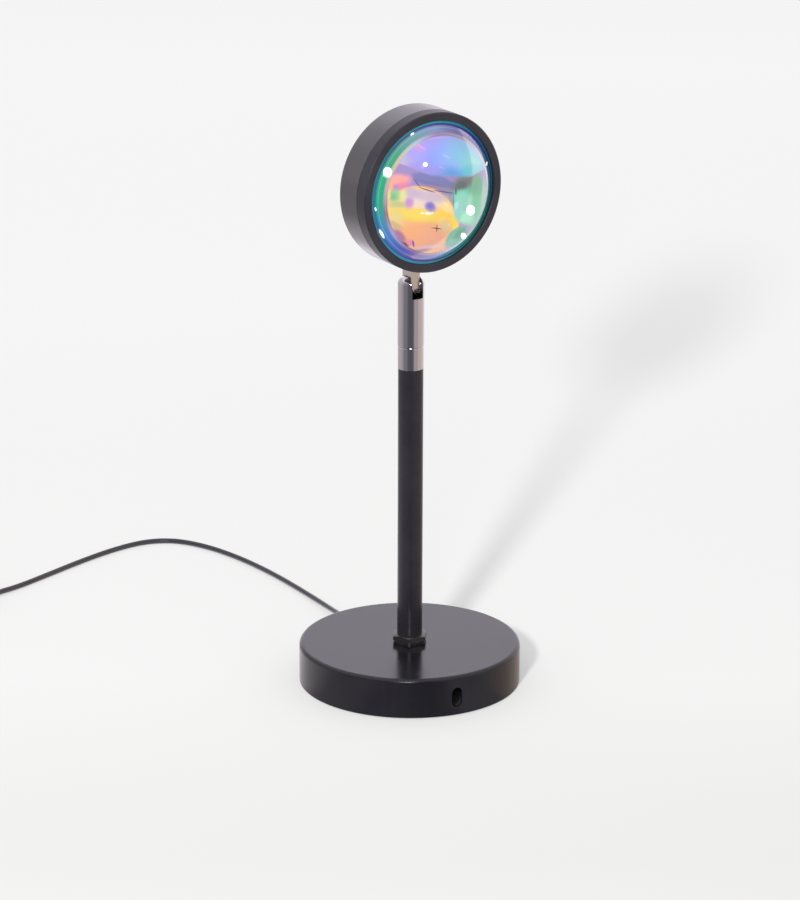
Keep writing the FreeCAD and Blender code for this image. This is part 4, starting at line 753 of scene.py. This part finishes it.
# studio: a pale floor, a small key light, a round softbox, and a surround whose reflected tone changes with
# its heading from the photographer
studio = {"floorHalf": 8, "floorColour": (0.86, 0.86, 0.86), "floorRoughness": 0.9, "floorSpecular": 0.1,
          "floorShare": 0.5,
          # the floor's own glow by distance behind the lamp, in metres, on a ramp that spans depthSpan
          "floorTones": [(-0.5, 0.37), (-0.226, 0.42), (-0.156, 0.48), (0.0, 0.66), (0.27, 0.75), (0.66, 0.9),
                         (1.3, 1.02)], "depthSpan": 2.0, "depthStart": 0.3,
          # polished surfaces see the floor brighter close to the lamp on its left, and a brighter sky
          "nearGain": (1.8, 0.9), "nearSide": (-0.3, 0.15), "nearReach": (0.3, 0.5), "skyGain": 1.2,
          # the key throws the shadow, the round softbox is the one that polished surfaces show
          "lights": [{"name": "key", "direction": (-0.696, -0.635, 0.388), "distance": 2.3, "size": 0.2,
                      "power": 68, "reflected": False, "colour": (0.96, 1.0, 0.93)},
                     {"name": "softbox", "direction": (-0.559, -0.768, 0.312), "distance": 2.3, "size": 0.4,
                      "power": 12, "reflected": True, "colour": (1.0, 1.0, 1.0)}],
          "aim": (0, 0, 0.22), "surround": (0.775, 0.762, 0.782), "sky": (0.86, 0.83, 0.9),
          "overhead": (0.35, 0.85),
          "towardsCamera": (-0.5514, -0.8342, 0.0), "towardsRight": (0.8342, -0.5514, 0.0),
          # what reflections see, by the angle from the photographer (positive to the right)
          "reflected": [(-180, (1.08, 1.02, 1.14)), (-158, (1.02, 0.97, 1.07)), (-143, (0.62, 0.58, 0.61)),
                        (-104, (0.54, 0.5, 0.52)), (-77, (0.46, 0.43, 0.46)), (-70, (0.38, 0.35, 0.38)),
                        (-62, (0.27, 0.24, 0.27)), (-35, (0.24, 0.23, 0.26)), (-24, (0.14, 0.13, 0.155)),
                        (3, (0.115, 0.11, 0.135)), (14, (0.13, 0.125, 0.145)), (24, (0.22, 0.2, 0.22)),
                        (33, (0.48, 0.45, 0.48)), (58, (0.46, 0.42, 0.44)), (67, (0.66, 0.56, 0.48)),
                        (111, (0.76, 0.62, 0.55)), (122, (0.82, 0.76, 0.8)), (150, (1.04, 0.98, 1.1)),
                        (180, (1.08, 1.02, 1.14))]}


def makeSurroundGroup(setup):
    # the studio's colour by heading, fading to an even sky overhead
    tree, given, result = newGroup("studioTone", {"Direction": ("vector", None)}, {"Tone": ("colour", None)})
    towards = vectorNode(tree, "DOT_PRODUCT", given["Direction"], setup["towardsCamera"])
    aside = vectorNode(tree, "DOT_PRODUCT", given["Direction"], setup["towardsRight"])
    heading = mathNode(tree, "ARCTAN2", aside, towards)
    share = mathNode(tree, "ADD", mathNode(tree, "DIVIDE", heading, 2 * math.pi), 0.5)
    around = colourByTurn(tree, share, [(angle / 360 + 0.5, tone) for angle, tone in setup["reflected"]])
    apart = addNode(tree, "ShaderNodeSeparateXYZ")
    tree.links.new(given["Direction"], apart.inputs[0])
    overhead = remap(tree, apart.outputs[2], *setup["overhead"], smooth=True)
    tree.links.new(mixColours(tree, overhead, around, setup["sky"]), result["Tone"])
    return tree


surroundGroup = makeSurroundGroup(studio)


def makeFloor(setup):
    half = setup["floorHalf"]
    mesh = bpy.data.meshes.new("floor")
    mesh.from_pydata([(-half, -half, 0), (half, -half, 0), (half, half, 0), (-half, half, 0)], [],
                     [(0, 1, 2, 3)])
    floor = bpy.data.objects.new("floor", mesh)
    scene.collection.objects.link(floor)
    material, tree, shader = newMaterial("paleFloor")
    shader.inputs["Base Color"].default_value = (*setup["floorColour"], 1)
    shader.inputs["Roughness"].default_value = setup["floorRoughness"]
    shader.inputs["Specular IOR Level"].default_value = setup["floorSpecular"]
    place = objectPlace(tree)
    depth = vectorNode(tree, "DOT_PRODUCT", place, tuple(-c for c in setup["towardsCamera"]))
    span, start = setup["depthSpan"], setup["depthStart"]
    plain = colourByTurn(tree, mathNode(tree, "ADD", mathNode(tree, "DIVIDE", depth, span), start),
                         [(far / span + start, (tone, tone, tone)) for far, tone in setup["floorTones"]])
    path = addNode(tree, "ShaderNodeLightPath")
    level = vectorNode(tree, "MULTIPLY", place, (1.0, 1.0, 0.0))
    tone = useGroup(tree, surroundGroup, Direction=level)["Tone"]
    reach = vectorNode(tree, "LENGTH", level)
    aside = mathNode(tree, "DIVIDE", vectorNode(tree, "DOT_PRODUCT", level, setup["towardsRight"]), reach)
    nearGain = remap(tree, aside, *setup["nearSide"], *setup["nearGain"], smooth=True)
    gain = remap(tree, reach, *setup["nearReach"], nearGain, 1.0, smooth=True)
    reflected = vectorNode(tree, "SCALE", tone, scale=gain)
    seen = mixColours(tree, path.outputs["Is Glossy Ray"], plain, reflected)
    glow = addNode(tree, "ShaderNodeEmission")
    tree.links.new(seen, glow.inputs["Color"])
    direct = mathNode(tree, "MAXIMUM", path.outputs["Is Camera Ray"], path.outputs["Is Transmission Ray"])
    share = mathNode(tree, "MAXIMUM", mathNode(tree, "MULTIPLY", direct, setup["floorShare"]),
                     path.outputs["Is Glossy Ray"])
    mix = addNode(tree, "ShaderNodeMixShader")
    tree.links.new(share, mix.inputs[0])
    tree.links.new(shader.outputs[0], mix.inputs[1])
    tree.links.new(glow.outputs[0], mix.inputs[2])
    tree.links.new(mix.outputs[0], tree.nodes["Material Output"].inputs["Surface"])
    mesh.materials.append(material)


def makeSurround(setup):
    world = bpy.data.worlds.new("studio")
    scene.world = world
    world.use_nodes = True
    tree = world.node_tree
    background = tree.nodes["Background"]
    direction = addNode(tree, "ShaderNodeTexCoord").outputs["Generated"]
    path = addNode(tree, "ShaderNodeLightPath")
    tone = useGroup(tree, surroundGroup, Direction=direction)["Tone"]
    sky = vectorNode(tree, "SCALE", tone, scale=setup["skyGain"])
    tree.links.new(mixColours(tree, path.outputs["Is Glossy Ray"], setup["surround"], sky),
                   background.inputs["Color"])


def makeLight(setup, aim):
    data = bpy.data.lights.new(setup["name"], "AREA")
    data.shape = "DISK"
    data.size = setup["size"]
    data.energy = setup["power"]
    data.color = setup["colour"]
    light = bpy.data.objects.new(setup["name"], data)
    direction = Vector(setup["direction"]).normalized()
    light.location = Vector(aim) + direction * setup["distance"]
    light.rotation_euler = direction.to_track_quat("Z", "Y").to_euler()
    light.visible_glossy = setup["reflected"]
    scene.collection.objects.link(light)


makeFloor(studio)
makeSurround(studio)
for light in studio["lights"]:
    makeLight(light, studio["aim"])
scene.view_settings.view_transform = "Standard"
print("studio lit")
